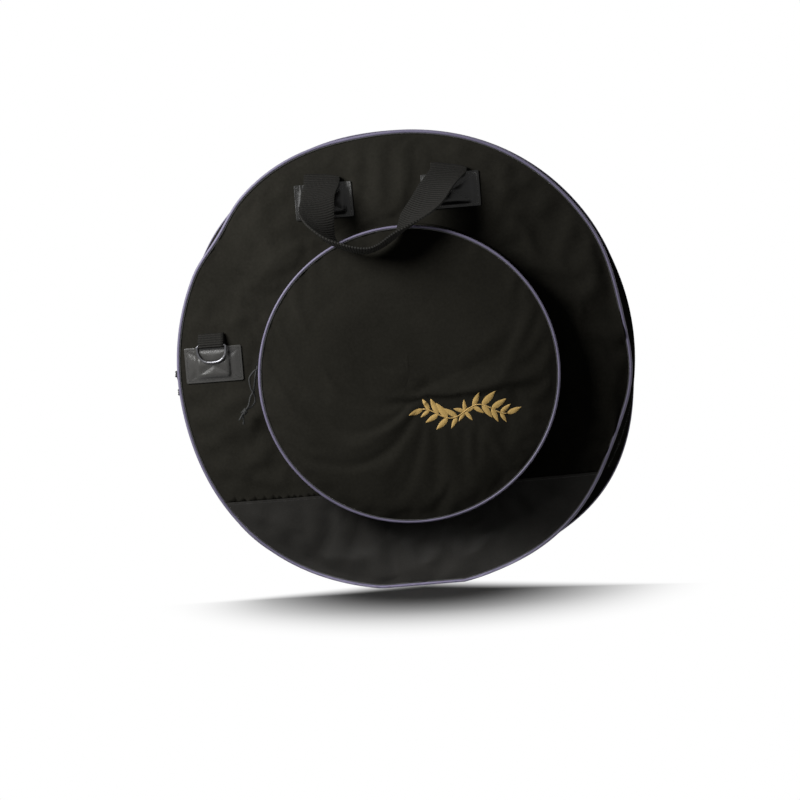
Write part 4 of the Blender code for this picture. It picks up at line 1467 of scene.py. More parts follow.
    def build_zip(self) -> None:
        """The two tapes and coils of the pocket's zip."""
        form = self.form
        for node, towards in (("pocket_zip_back", -1), ("pocket_zip_front", 1)):
            edge = form.zip_plane + towards * 0.6 * MM
            end = form.zip_plane + towards * 17 * MM
            under = form.bed - 1 * MM
            section = [(under, edge), (form.bed, edge), (form.bed, end), (under, end)]
            bm = self.spun(section)
            part_at(bm, Vector((0, 0, form.fold)), Vector((0, 0, -1))).free()
            close_cut(bm)
            lay_uv(bm, self.band_reading, math.tau * form.radius)
            tape = to_piece(bm, f"{node}_tape", self.finishes.tape)
            mark_sharp(tape)
            lean = math.degrees(self.tooth_pitch / 2 / form.bed) if towards > 0 else 0.0
            places = arc_places(
                form.centre, form.bed + 0.95 * MM, form.zip_plane + towards * 1.0 * MM,
                -2.4 + lean, 182.4, self.tooth_pitch,
            )
            places = [form.slumped(place) for place in places]
            coil = zip_coil(f"{node}_coil", places, form.centre, self.finishes.coil)
            if towards > 0:
                self.across_fold(tape, "zip", node)
                self.across_fold(coil, "zip")
            else:
                carried(tape, "front_half", "zip", node)
                carried(coil, "front_half", "zip")


# Sliders and cord pulls


@dataclass(frozen=True)
class PullRoute:
    """How a doubled cord lies beyond its slider, as shares of its length: along, across and out."""

    strands: tuple[tuple[tuple[float, float, float], ...], ...]
    knot: tuple[float, float, float]
    tails: tuple[tuple[float, float, float], ...]


HANGING = PullRoute(
    (
        (
            (0.10, 0.066, 0.060), (0.26, 0.060, 0.160), (0.47, 0.040, 0.125), (0.565, 0.030, 0.075),
            (0.66, 0.028, 0.118), (0.84, 0.028, 0.150), (0.918, 0.027, 0.185),
        ),
        (
            (0.12, -0.060, 0.030), (0.34, -0.046, 0.046), (0.56, -0.031, 0.057), (0.66, -0.029, 0.031),
            (0.78, -0.029, 0.028), (0.875, -0.028, 0.086), (0.927, -0.027, 0.165),
        ),
    ),
    (1.0, 0.0, 0.235),
    ((1.19, 0.03, 0.345), (1.28, -0.023, 0.255)),
)
LYING = PullRoute(
    (
        (
            (0.12, 0.058, -0.005), (0.38, 0.048, -0.025), (0.68, 0.038, -0.022),
            (0.83, 0.030, -0.002), (0.91, 0.027, 0.012),
        ),
        (
            (0.12, -0.058, -0.005), (0.38, -0.048, -0.025), (0.68, -0.038, -0.022),
            (0.83, -0.030, -0.002), (0.91, -0.027, 0.012),
        ),
    ),
    (1.0, 0.0, 0.026),
    ((1.23, 0.045, -0.008), (1.26, -0.040, 0.009)),
)


@dataclass
class ZipPull:
    """A zip slider with a knotted cord doubled through its bail."""

    name: str
    pull_name: str
    matrix: Matrix
    route: PullRoute
    finishes: Finishes
    bed_radius: float | None = None
    beside: bool = False
    length: float = 65 * MM
    cord: float = 1.4 * MM
    bail_width: float = 2.4 * MM
    start_height: float = 6.3 * MM
    plate_low: float = 2.8 * MM
    plate_high: float = 4.2 * MM
    foot_low: float = -4.0 * MM
    foot_high: float = -2.6 * MM

    def place(self, share: Sequence[float]) -> Vector:
        """A place of the pull in the slider's frame."""
        return Vector((0, 0, self.start_height)) + Vector(share) * self.length

    def let_down(self, place: Vector) -> Vector:
        """The place in the world, where a main pull lies on the round gusset or beside the other slider."""
        if self.bed_radius is not None:
            place = place - Vector((0, 0, place.x**2 / (2 * self.bed_radius)))
        if self.beside:
            place = place + Vector((0, -10.5 * MM, 2 * MM)) * smooth_step((place.x - 5 * MM) / (11 * MM))
        return self.matrix @ place

    def let_down_line(self, points: Sequence[Vector], spacing: float) -> list[Vector]:
        """The same for a smooth route through points."""
        return [self.let_down(place) for place in smooth_route(points, spacing)]

    def strand(self, count: int) -> list[Vector]:
        """Route of one strand from under the bail to the knot."""
        way = (1, -1)[count]
        side = self.bail_width / 2 + 0.3 * MM + self.cord
        start = Vector((0, 0, self.start_height))
        turn = [start + Vector((x, way * y, 0)) * side for x, y in ((0.35, 0.86), (1.4, 1.17))]
        return [start, *turn, *(self.place(share) for share in self.route.strands[count])]

    def build(self) -> None:
        """Build the slider, the cord and the knot."""
        self.build_slider()
        knot = self.build_knot()
        first, second = (self.strand(count) for count in (0, 1))
        middle = self.place(self.route.knot)
        turn = [
            middle + Vector((x * MM, y * MM, 0))
            for x, y in ((-1.6, 2.9), (1.4, 3.0), (3.5, 0.0), (1.4, -3.0), (-1.6, -2.9))
        ]
        line = self.let_down_line([*first, *turn, *reversed(second[1:])], 1.8 * MM)
        lay_length = sum((b - a).length for a, b in zip(line, line[1:]))
        cord = to_piece(tube(line, self.cord, 10), f"{self.pull_name}_strands", self.finishes.cord)
        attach(cord, self.pull_name)
        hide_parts(f"{self.pull_name}_cord")
        tuple(line[0])
        2 * self.cord
        [tuple(point) for point in line]
        LOG.info("%s is %.0f mm of cord", cord.name, lay_length / MM)

    def build_slider(self) -> None:
        """Two waisted plates, the web between them and the bail."""
        shield = [
            (-7, -3.0), (-5.6, -4.4), (-1.5, -5.0), (4.6, -5.0), (6.6, -4.1), (7, -2.6),
            (7, 2.6), (6.6, 4.1), (4.6, 5.0), (-1.5, 5.0), (-5.6, 4.4), (-7, 3.0),
        ]
        outline = [(x * MM, y * MM) for x, y in shield]
        web = [(x * MM, y * MM) for x, y in ((-2, -0.3), (6.6, -0.3), (6.6, 0.3), (-2, 0.3))]
        flange = [(x * MM, y * MM) for x, y in ((-4.6, 4.2), (4.6, 4.2), (4.6, 4.9), (-4.6, 4.9))]
        other = [(x, -y) for x, y in reversed(flange)]
        crest = [(x * MM, y * MM) for x, y in ((-5.2, -1.7), (5.2, -1.7), (5.2, 1.7), (-5.2, 1.7))]
        parts = [
            plate(outline, self.plate_low, self.plate_high, 0.35 * MM),
            plate(outline, self.foot_low, self.foot_high, 0.35 * MM),
            plate(web, self.foot_high, self.plate_low, 0.05 * MM),
            plate(flange, self.plate_low - 1.0 * MM, self.plate_low + 0.2 * MM, 0.15 * MM),
            plate(other, self.plate_low - 1.0 * MM, self.plate_low + 0.2 * MM, 0.15 * MM),
            plate(crest, self.plate_high - 0.1 * MM, self.plate_high + 0.35 * MM, 0.15 * MM),
        ]
        arch = [(-4.0, 4.2), (-4.1, 6.6), (-3.5, 8.3), (-1.6, 8.95)]
        arch += [(-x, z) for x, z in reversed(arch)]
        bail = tube(smooth_route([Vector((x * MM, 0, z * MM)) for x, z in arch], 0.9 * MM), 0.55 * MM, 8)
        bmesh.ops.scale(bail, verts=bail.verts, vec=(1, self.bail_width / (1.1 * MM), 1))
        bm = put_together([*parts, bail])
        bm.transform(self.matrix)
        slider = to_piece(bm, f"{self.name}_body", self.finishes.enamel)
        mark_sharp(slider)
        carried(slider, self.name, "black_metal", self.name)

    def build_knot(self) -> bpy.types.Object:
        """The wraps of the knot, and its two cut tails."""
        middle = self.place(self.route.knot)
        before = self.place(self.route.strands[0][-1]) * 0.5 + self.place(self.route.strands[1][-1]) * 0.5
        along = (middle - before).normalized()
        side = along.cross(Vector((0, 0, 1))).normalized()
        up = side.cross(along)
        wraps = []
        for count in range(49):
            turn = math.tau * 2.35 * count / 48
            reach = 2.9 * MM * (1 + 0.10 * math.sin(turn * 0.7))
            shift = (-3.6 + 7.0 * count / 48) * MM
            ring = side * math.cos(turn) * reach + up * math.sin(turn) * reach * 0.92
            wraps.append(self.let_down(middle + along * shift + ring))
        parts = [tube(wraps, self.cord * 1.02, 10)]
        core = [middle - along * 4.4 * MM, middle, middle + along * 4.2 * MM]
        parts.append(tube([self.let_down(spot) for spot in core], self.cord * 1.25, 10))
        for count, tail in enumerate(self.route.tails):
            end = self.place(tail)
            lean = side * (1.3 if count else -1.3) * MM
            points = [middle + lean * 0.6, middle + along * 4 * MM + lean]
            points += [middle.lerp(end, 0.75) + lean * 0.5, end]
            parts.append(tube(self.let_down_line(points, 2.0 * MM), self.cord, 10, 0.8))
        knot = to_piece(put_together(parts), f"{self.pull_name}_knot_wraps", self.finishes.cord)
        return carried(knot, self.pull_name, "cord", f"{self.pull_name}_knot")


def slider_frame(centre: Vector, plane: float, bed: float, degrees: float) -> Matrix:
    """Frame of a slider: X the way its pull trails, Z out of the bag, origin on the tape."""
    angle = math.radians(degrees)
    out = Vector((math.cos(angle), 0, math.sin(angle)))
    along = Vector((-math.sin(angle), 0, math.cos(angle)))
    matrix = Matrix((along, out.cross(along), out)).transposed().to_4x4()
    matrix.translation = Vector((centre.x, -plane, centre.z)) + out * bed
    return matrix


# Handles and D-rings


@dataclass
class SewnPatch:
    """A leatherette patch stitched over the sewn end of a webbing."""

    surface: Surface
    middle: float
    height: float
    fold: float
    webbing_width: float
    webbing_wall: float
    level: float
    width: float = 82 * MM
    tall: float = 50 * MM
    wall: float = 1.4 * MM
    border: float = 10 * MM
    gap: float = 0.5 * MM
    ramp: float = 7 * MM
    corner: float = 1.6 * MM
    inset: float = 3.2 * MM
    puff: float = 1.3 * MM
    pulled: float = 5 * MM

    @property
    def low(self) -> float:
        """Height of the patch's lower edge."""
        return self.height - self.tall / 2

    @property
    def foot(self) -> float:
        """Height of the webbing's hidden end."""
        return self.low + self.border + 1.1 * MM

    def bed(self, z: float, share: float, level: float) -> float:
        """The Y that a webbing's back has at a place across it."""
        half = self.webbing_width / 2
        left, right = (self.surface.at(self.middle + way * half, z) for way in (-1, 1))
        proud = max(0.0, (left + right) / 2 - self.surface.at(self.middle, z))
        front = min(left, right)
        ends = [side + (front - side) * level - proud for side in (left, right)]
        return ends[0] + (ends[1] - ends[0]) * share - 1.1 * MM

    def webbing_stations(self, rows: int, inner: float) -> list[Station]:
        """Stations of the webbing from its hidden end up to its fold.

        Args:
            rows: How many steps.
            inner: Distance of its middle from the bed.

        Returns:
            The stations.
        """
        half = self.webbing_width / 2
        made = []
        for row in range(rows + 1):
            share = row / rows
            z = self.foot + (self.fold - self.foot) * share
            ends = [
                Vector((self.middle + way * half, self.bed(z, (way + 1) / 2, self.level * share) - inner, z))
                for way in (-1, 1)
            ]
            made.append(Station(*ends))
        return made

    def back_at(self, x: float, z: float) -> float:
        """The Y of the patch's back at a place, raised over the webbing."""
        flat = self.surface.at(self.middle + x, z, self.gap)
        half = self.webbing_width / 2 + 0.6 * MM
        over = 1 - smooth_step((abs(x) - half) / self.ramp)
        over *= smooth_step((z - self.foot + self.ramp) / self.ramp)
        if over <= 0:
            return flat
        share = min(max((x / self.webbing_width) + 0.5, 0.0), 1.0)
        rise = max(z - self.foot, 0.0) / (self.fold - self.foot)
        raised = min(self.bed(z, share, self.level * rise) - self.webbing_wall - 0.25 * MM, flat)
        return flat + (raised - flat) * over

    def puffed(self, x: float, z: float) -> float:
        """How far the leather stands up between the stitches that pull it down."""
        half, tall = self.width / 2 - self.inset, self.tall / 2 - self.inset
        up = z - self.low - self.tall / 2
        edge = min(half - abs(x), tall - abs(up))
        cross = abs(abs(x) * tall - abs(up) * half) / math.hypot(half, tall)
        near = min(edge, cross)
        return self.puff * (1 - math.exp(-((near / self.pulled) ** 2))) if near > 0 else 0.0

    def patch_bm(self) -> bmesh.types.BMesh:
        """The patch as an open sheet with rounded corners."""
        half, tall = self.width / 2, self.tall

        def lay(across: float, along: float) -> Vector:
            up = along * tall
            near = self.corner - min(up, tall - up)
            slim = self.corner - math.sqrt(max(self.corner**2 - max(near, 0.0) ** 2, 0.0))
            x = (across * 2 - 1) * (half - slim)
            z = self.low + up
            return Vector((self.middle + x, self.back_at(x, z) - self.puffed(x, z), z))

        bm = grid(56, 36, lay)
        stretch_uv(bm, self.width, self.tall)
        face_towards(bm, Vector((0, -1, 0)))
        return bm

    def stitch_routes(self) -> list[list[Vector]]:
        """Lines of stitches: round the border, and a cross between its corners."""
        half, low = self.width / 2 - self.inset, self.low + self.inset
        high = self.low + self.tall - self.inset
        corners = [(-half, low), (half, low), (half, high), (-half, high), (-half, low)]
        lines = list(zip(corners, corners[1:]))
        lines += [((-half, low), (half, high)), ((-half, high), (half, low))]
        routes = []
        for (x0, z0), (x1, z1) in lines:
            count = 40
            spots = [(x0 + (x1 - x0) * i / count, z0 + (z1 - z0) * i / count) for i in range(count + 1)]
            routes.append([
                Vector((self.middle + x, self.back_at(x, z) - self.wall - 0.05 * MM, z)) for x, z in spots
            ])
        return routes


def finish_patch(
    patch: SewnPatch, side: Side, node: str, leather: bpy.types.Material, thread: bpy.types.Material
) -> None:
    """Dress one patch and its stitches."""
    bm = patch.patch_bm()
    routes = patch.stitch_routes()
    if side is Side.BACK:
        half_turn(bm)
        routes = [[Vector((-p.x, -p.y, p.z)) for p in route] for route in routes]
    piece = to_piece(bm, f"{node}_leather", leather)
    give_wall(piece, patch.wall, 1)
    round_edges(piece, 0.4 * MM)
    carried(piece, side.body, "leatherette", node)
    sewing = Sewing(thread, pitch=2.9 * MM, length=2.3 * MM, thick=0.9 * MM)
    out = Vector((0, side.way, 0))
    carried(sewing.rows(f"{node}_stitches", routes, lambda place: out), side.body, "cord")


@dataclass
class Handle:
    """A webbing handle: one strip sewn down at both ends, folded forward and hanging in a bow."""

    side: Side
    surface: Surface
    form: BagForm
    finishes: Finishes
    half_span: float = 90 * MM
    middle: float = -5 * MM
    fold_inset: float = 54 * MM
    patch_drop: float = 36 * MM
    width: float = 50 * MM
    wall: float = 2.5 * MM
    out: float = 98 * MM
    drop: float = 108 * MM
    axis_y: float = -56.5 * MM
    skew_reach: float = 26 * MM
    skew_deg: Mapping[int, float] = field(default_factory=lambda: {-1: 7.5, 1: 12.0})
    shares: tuple[tuple[float, ...], ...] = (
        (-1.000, 0.000, 0.000, -1.00, 0.00, 0.00, 0.00),
        (-1.005, 0.041, 0.074, -1.00, 0.00, 0.00, 0.00),
        (-1.028, 0.153, 0.167, -1.00, 0.06, 0.03, 0.02),
        (-1.078, 0.327, 0.296, -0.97, 0.21, 0.08, 0.05),
        (-1.094, 0.469, 0.481, -0.95, 0.30, -0.04, 0.10),
        (-1.022, 0.633, 0.713, -0.62, 0.74, -0.28, 0.12),
        (-0.800, 0.714, 0.880, -0.20, 0.96, -0.18, 0.10),
        (-0.333, 0.760, 1.000, 0.10, 0.99, -0.16, 0.06),
        (0.089, 0.724, 0.833, 0.13, 0.98, -0.18, 0.10),
        (0.411, 0.602, 0.602, 0.72, 0.68, 0.07, 0.12),
        (0.622, 0.449, 0.435, 0.88, 0.43, 0.17, 0.08),
        (0.789, 0.276, 0.250, 0.96, 0.25, 0.12, 0.05),
        (0.911, 0.143, 0.144, 0.99, 0.08, 0.05, 0.02),
        (0.983, 0.041, 0.074, 1.00, 0.00, 0.00, 0.00),
        (1.000, 0.000, 0.000, 1.00, 0.00, 0.00, 0.00),
    )

    @property
    def fold(self) -> float:
        """Height of the folds."""
        return self.form.centre.z + self.form.radius - self.fold_inset

    def patch(self, way: int) -> SewnPatch:
        """One of the two patches; way is -1 for the left one."""
        return SewnPatch(
            self.surface, self.middle + way * self.half_span, self.fold - self.patch_drop,
            self.fold - 0.3 * MM, self.width, self.wall, 1.0,
        )

    def hanging_stations(self) -> list[Station]:
        """Stations of the hanging bow, from its left fold to its right."""
        start = self.axis_y - 0.3 * MM - self.wall / 2
        lefts, rights, dips = [], [], []
        for across, out, drop, *aside, dip in self.shares:
            place = Vector((
                self.middle + across * self.half_span, start - out * self.out,
                self.fold - 0.3 * MM - drop * self.drop,
            ))
            half = Vector((aside[0], -aside[1], -aside[2])).normalized() * self.width / 2
            lefts.append(place + half)
            rights.append(place - half)
            dips.append(Vector((dip * self.width, 0, 0)))
        rails = [evenly(points, 11) for points in (lefts, rights, dips)]
        return [Station(left, right, dip.x) for left, right, dip in zip(*rails)]

    def skewed(self, station: Station) -> Station:
        """The station with its fold turned a little, as the webbing is sewn down askew."""
        way = -1 if station.middle.x < self.middle else 1
        near = smooth_step(1 - (self.fold - station.middle.z) / self.skew_reach)
        slope = math.tan(math.radians(self.skew_deg[way])) * near
        middle = self.middle + way * self.half_span
        ends = [
            Vector((end.x, end.y, end.z - (end.x - middle) * slope)) for end in (station.left, station.right)
        ]
        return Station(*ends, station.dip)

    def turn_over(self, station: Station, onto: Station, steps: int) -> list[Station]:
        """Stations of the fold between a sewn end and the hanging bow."""
        made = []
        for count in range(1, steps):
            turn = math.pi * count / steps
            share = (1 - math.cos(turn)) / 2
            rise = math.sin(turn) * abs(station.middle.y - onto.middle.y) / 2
            made.append(Station(
                station.left.lerp(onto.left, share) + Vector((0, 0, rise)),
                station.right.lerp(onto.right, share) + Vector((0, 0, rise)),
            ))
        return made

    def build(self) -> None:
        """Build the patches and the webbing."""
        name = self.side.value
        bow = self.hanging_stations()
        ends = {}
        for way, word in ((-1, "left"), (1, "right")):
            patch = self.patch(way)
            node = f"{name}_handle_patch_{word}"
            finish_patch(patch, self.side, node, self.finishes.patch, self.finishes.patch_stitch)
            ends[way] = patch.webbing_stations(8, self.wall / 2)
        left = ends[-1]
        flipped = [Station(s.right, s.left) for s in left]
        right = list(reversed(ends[1]))
        stations = [
            *flipped, *self.turn_over(flipped[-1], bow[0], 7), *bow,
            *self.turn_over(bow[-1], right[0], 7), *right,
        ]
        bm = webbing_strip([self.skewed(station) for station in stations], 10)
        start = Vector((0, self.axis_y + 1.5 * MM, self.fold - 0.2 * MM))
        end = Vector((0, self.axis_y - 1.5 * MM, self.fold + 0.2 * MM))
        if self.side is Side.BACK:
            half_turn(bm)
            start, end = (Vector((-p.x, -p.y, p.z)) for p in (start, end))
        piece = to_piece(bm, f"{name}_handle_webbing", self.finishes.webbing)
        give_wall(piece, self.wall, 0)
        round_edges(piece, 0.6 * MM)
        nodes = (f"{name}_handle_strap", f"{name}_handle_end_left", f"{name}_handle_end_right")
        blended(piece, (self.side.body, f"{name}_handle"), start, end, "webbing", *nodes)


def evenly(points: Sequence[Vector], steps: int) -> list[Vector]:
    """The same number of places between all neighbours, read from a smooth curve."""
    fine = []
    ends = [points[0] * 2 - points[1], *points, points[-1] * 2 - points[-2]]
    for a, b, c, d in zip(ends, ends[1:], ends[2:], ends[3:]):
        for t in (i / steps for i in range(steps)):
            bend = (2 * a - 5 * b + 4 * c - d) + (3 * b - a - 3 * c + d) * t
            fine.append((2 * b + (c - a) * t + bend * t * t) / 2)
    return fine + [points[-1]]


@dataclass
class DRingTab:
    """A D-ring held by doubled webbing that is sewn under a patch and folded forward."""

    side: Side
    surface: Surface
    form: BagForm
    finishes: Finishes
    place: Vector
    tilt: float
    x: float = -271 * MM
    patch_rise: float = 18 * MM
    fold_rise: float = 59 * MM
    width: float = 37 * MM
    wall: float = 3 * MM
    ply: float = 1.4 * MM
    bar: tuple[float, float] = (-6 * MM, -14 * MM)
    wire: float = 1.8 * MM

    def build(self) -> None:
        """Build the patch and the doubled webbing, and finish the ring."""
        name = self.side.value
        patch = SewnPatch(
            self.surface, self.x, self.form.centre.z + self.patch_rise,
            self.form.centre.z + self.fold_rise - 0.3 * MM, self.width, self.wall, 0.0,
        )
        node = f"{name}_d_ring_patch"
        # The D-ring patch wears the lighter leatherette copy, which paints the lamp's light on it.
        finish_patch(patch, self.side, node, self.finishes.lit_tab_patch, self.finishes.tab_stitch)
        matrix = Matrix.Translation(self.place) @ Matrix.Rotation(self.tilt, 4, "Z")
        inner = patch.webbing_stations(6, self.ply / 2 + 1.55 * MM)
        outer = patch.webbing_stations(6, self.ply / 2 + 0.05 * MM)
        loop = [self.across(matrix, y, z) for y, z in self.loop_line()]
        stations = [*inner, *loop, *reversed(outer)]
        bm = webbing_strip(stations, 8)
        rise = Vector((0, 0.15 * MM, 0))
        way = Vector((0, -1, 0.1)).normalized() * 0.8 * MM
        start, end = matrix @ (rise - way), matrix @ (rise + way)
        if self.side is Side.BACK:
            half_turn(bm)
            start, end = (Vector((-p.x, -p.y, p.z)) for p in (start, end))
        piece = to_piece(bm, f"{name}_d_ring_webbing", self.finishes.webbing)
        give_wall(piece, self.ply, 0)
        nodes = (f"{name}_d_ring_tab", f"{name}_d_ring_loop")
        blended(piece, (self.side.body, f"{name}_d_ring_loop"), start, end, "webbing", *nodes)
        dress(f"{name}_d_ring", self.finishes.nickel)

    def across(self, matrix: Matrix, y: float, z: float) -> Station:
        """A station of the loop at a place of its side view."""
        half = self.width / 2
        return Station(matrix @ Vector((-half, y, z)), matrix @ Vector((half, y, z)))

    def loop_line(self) -> list[tuple[float, float]]:
        """Side view of the webbing beyond the tab: over the fold, round the ring's bar and back over it."""
        ring = self.wire + 0.25 * MM + self.ply / 2
        y, z = self.bar
        line = [(1.05 * MM, 0.1 * MM), (0.7 * MM, 0.75 * MM), (0.15 * MM, 1.0 * MM), (-0.4 * MM, 0.75 * MM)]
        line += [(-0.8 * MM, -0.4 * MM), (-1.6 * MM, -5 * MM), (-2.7 * MM, -10.5 * MM)]
        for count in range(11):
            turn = math.radians(-8 - 164 * count / 10)
            line.append((y + ring * math.cos(turn), z + ring * math.sin(turn)))
        outer = ((-7.4, -9.5), (-4.9, -4.5), (-2.9, -0.5), (-2.3, 1.0), (-1.3, 2.2), (0.15, 2.6))
        return line + [(out * MM, up * MM) for out, up in (*outer, (1.5, 2.2), (2.4, 1.1))]


def dress(node: str, material: bpy.types.Material) -> None:
    """Give a carried-over CAD node a finish."""
    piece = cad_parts[node]
    piece.data.materials.clear()
    piece.data.materials.append(material)
    LOG.info("%s keeps its CAD shape in %s", node, material.name)


# Inside


@dataclass
class Divider:
    """A lined divider disc with a bound edge, sewn along its foot."""

    side: Side
    form: BagForm
    finishes: Finishes
    radius: float = 297 * MM
    near: float = 11 * MM
    wall: float = 2 * MM
    drop: float = 20 * MM
    foot: float = 5.3 * MM

    def build(self) -> None:
        """Build the disc and its binding."""
        name = self.side.value
        centre = self.form.centre - Vector((0, 0, self.drop))
        middle = self.near + self.wall / 2
        radii = [0.0] + [self.radius * share for share in (0.25, 0.5, 0.7, 0.85, 0.94, 0.985, 1.0)]
        section = [(radius, self.near + self.wall) for radius in radii]
        section += [(radius, self.near) for radius in reversed(radii)]
        disc = self.cut(spun(section, 120, centre, False))
        turns = [math.tau * i / 8 for i in range(8)]
        edge = [
            (self.radius - 2.0 * MM + 2.2 * MM * math.cos(t), middle + 1.5 * MM * math.sin(t)) for t in turns
        ]
        binding = self.cut(spun(edge, 120, centre, True))
        lay_uv(disc, lambda place: (place.x, place.z))
        lay_uv(binding, lambda place: (place.y, place.x + place.z))
        panel = to_piece(disc, f"divider_{name}_panel", self.finishes.lining)
        mark_sharp(panel)
        carried(panel, f"divider_{name}", "lining", f"divider_{name}")
        bound = to_piece(binding, f"divider_{name}_binding", self.finishes.tape)
        carried(bound, f"divider_{name}", "webbing")

    def cut(self, bm: bmesh.types.BMesh) -> bmesh.types.BMesh:
        """Turn a ring to its side of the bag and cut it along the foot."""
        if self.side is Side.BACK:
            half_turn(bm)
        part_at(bm, Vector((0, 0, self.foot)), Vector((0, 0, -1))).free()
        close_cut(bm)
        return bm


@dataclass
class Spine:
    """The soft strip along the floor that the front half folds on."""

    form: BagForm
    finishes: Finishes
    half_length: float = 50 * MM
    half_width: float = 8 * MM

    def build(self) -> None:
        """Build the strip."""
        def lay(across: float, along: float) -> Vector:
            x, y = (across * 2 - 1) * self.half_length, (along * 2 - 1) * self.half_width
            return Vector((x, y, 0.75 * MM))

        bm = grid(20, 16, lay)
        stretch_uv(bm, 2 * self.half_length, 2 * self.half_width)
        face_towards(bm, Vector((0, 0, -1)))
        # The spine wears the darker leatherette copy, whose colour is painted shade.
        piece = to_piece(bm, "base_spine", self.finishes.base)
        give_wall(piece, 0.5 * MM, 0)
        start, end = Vector((0, 3 * MM, 0)), Vector((0, -3 * MM, 0))
        blended(piece, ("back_half", "front_half"), start, end, "leatherette")


# Embroidery


@dataclass
class Sprig:
    """A gold satin-stitch sprig: a waving stem with pairs of leaves and a bud at its middle."""

    surface: Surface
    finishes: Finishes
    centre: tuple[float, float] = (80 * MM, 245 * MM)
    length: float = 118 * MM
    wave: float = 8 * MM
    leaf: float = 27 * MM
    leaf_width: float = 9 * MM
    lift: float = 0.9 * MM

    def stem_at(self, share: float) -> tuple[float, float]:
        """A place of the stem, from -1 at its left end to 1 at its right."""
        x = self.centre[0] + share * self.length / 2
        return x, self.centre[1] + self.wave * math.sin(share * math.pi * 1.5)

    def leaf_bm(self, x: float, z: float, angle: float, size: float) -> bmesh.types.BMesh:
        """One domed leaf from its foot at x, z."""
        length, width = self.leaf * size, self.leaf_width * size

        def lay(across: float, along: float) -> Vector:
            wide = width * math.sin(math.pi * along**0.75) ** 0.8 / 2 if 0 < along < 1 else 0.0
            u, v = along * length, (across * 2 - 1) * wide
            px = x + u * math.cos(angle) - v * math.sin(angle)
            pz = z + u * math.sin(angle) + v * math.cos(angle)
            dome = self.lift * (0.25 + 0.75 * (1 - (2 * across - 1) ** 2) * math.sin(math.pi * along) ** 0.5)
            return self.surface.lay(px, pz, dome if 0 < along < 1 else 0.2 * MM)

        bm = grid(6, 12, lay)
        face_towards(bm, Vector((0, -1, 0)))
        return bm

    def build(self) -> None:
        """Build the sprig."""
        parts = []
        for way in (-1, 1):
            for share, size in ((0.2, 0.8), (0.42, 1.0), (0.64, 0.92), (0.84, 0.7)):
                x, z = self.stem_at(share * way)
                lean = math.cos(share * way * math.pi * 1.5) * 0.35 * way
                for up in (-1, 1):
                    angle = (0 if way > 0 else math.pi) + (up * 0.85 + lean) * way
                    parts.append(self.leaf_bm(x, z, angle, size * (1.0 if up > 0 else 0.86)))
            x, z = self.stem_at(way)
            parts.append(self.leaf_bm(x, z, 0.35 if way > 0 else math.pi + 0.35, 0.8))
        x, z = self.stem_at(0)
        for petal in range(5):
            parts.append(self.leaf_bm(x, z, math.pi / 2 + math.tau * petal / 5, 0.62))
        stem = [self.surface.lay(*self.stem_at(-1 + i / 20), 0.35 * MM) for i in range(41)]
        parts.append(tube(stem, 0.9 * MM, 8))
        piece = to_piece(put_together(parts), "pocket_sprig_embroidery", self.finishes.gold)
        carried(piece, "front_half", "")


# Studio


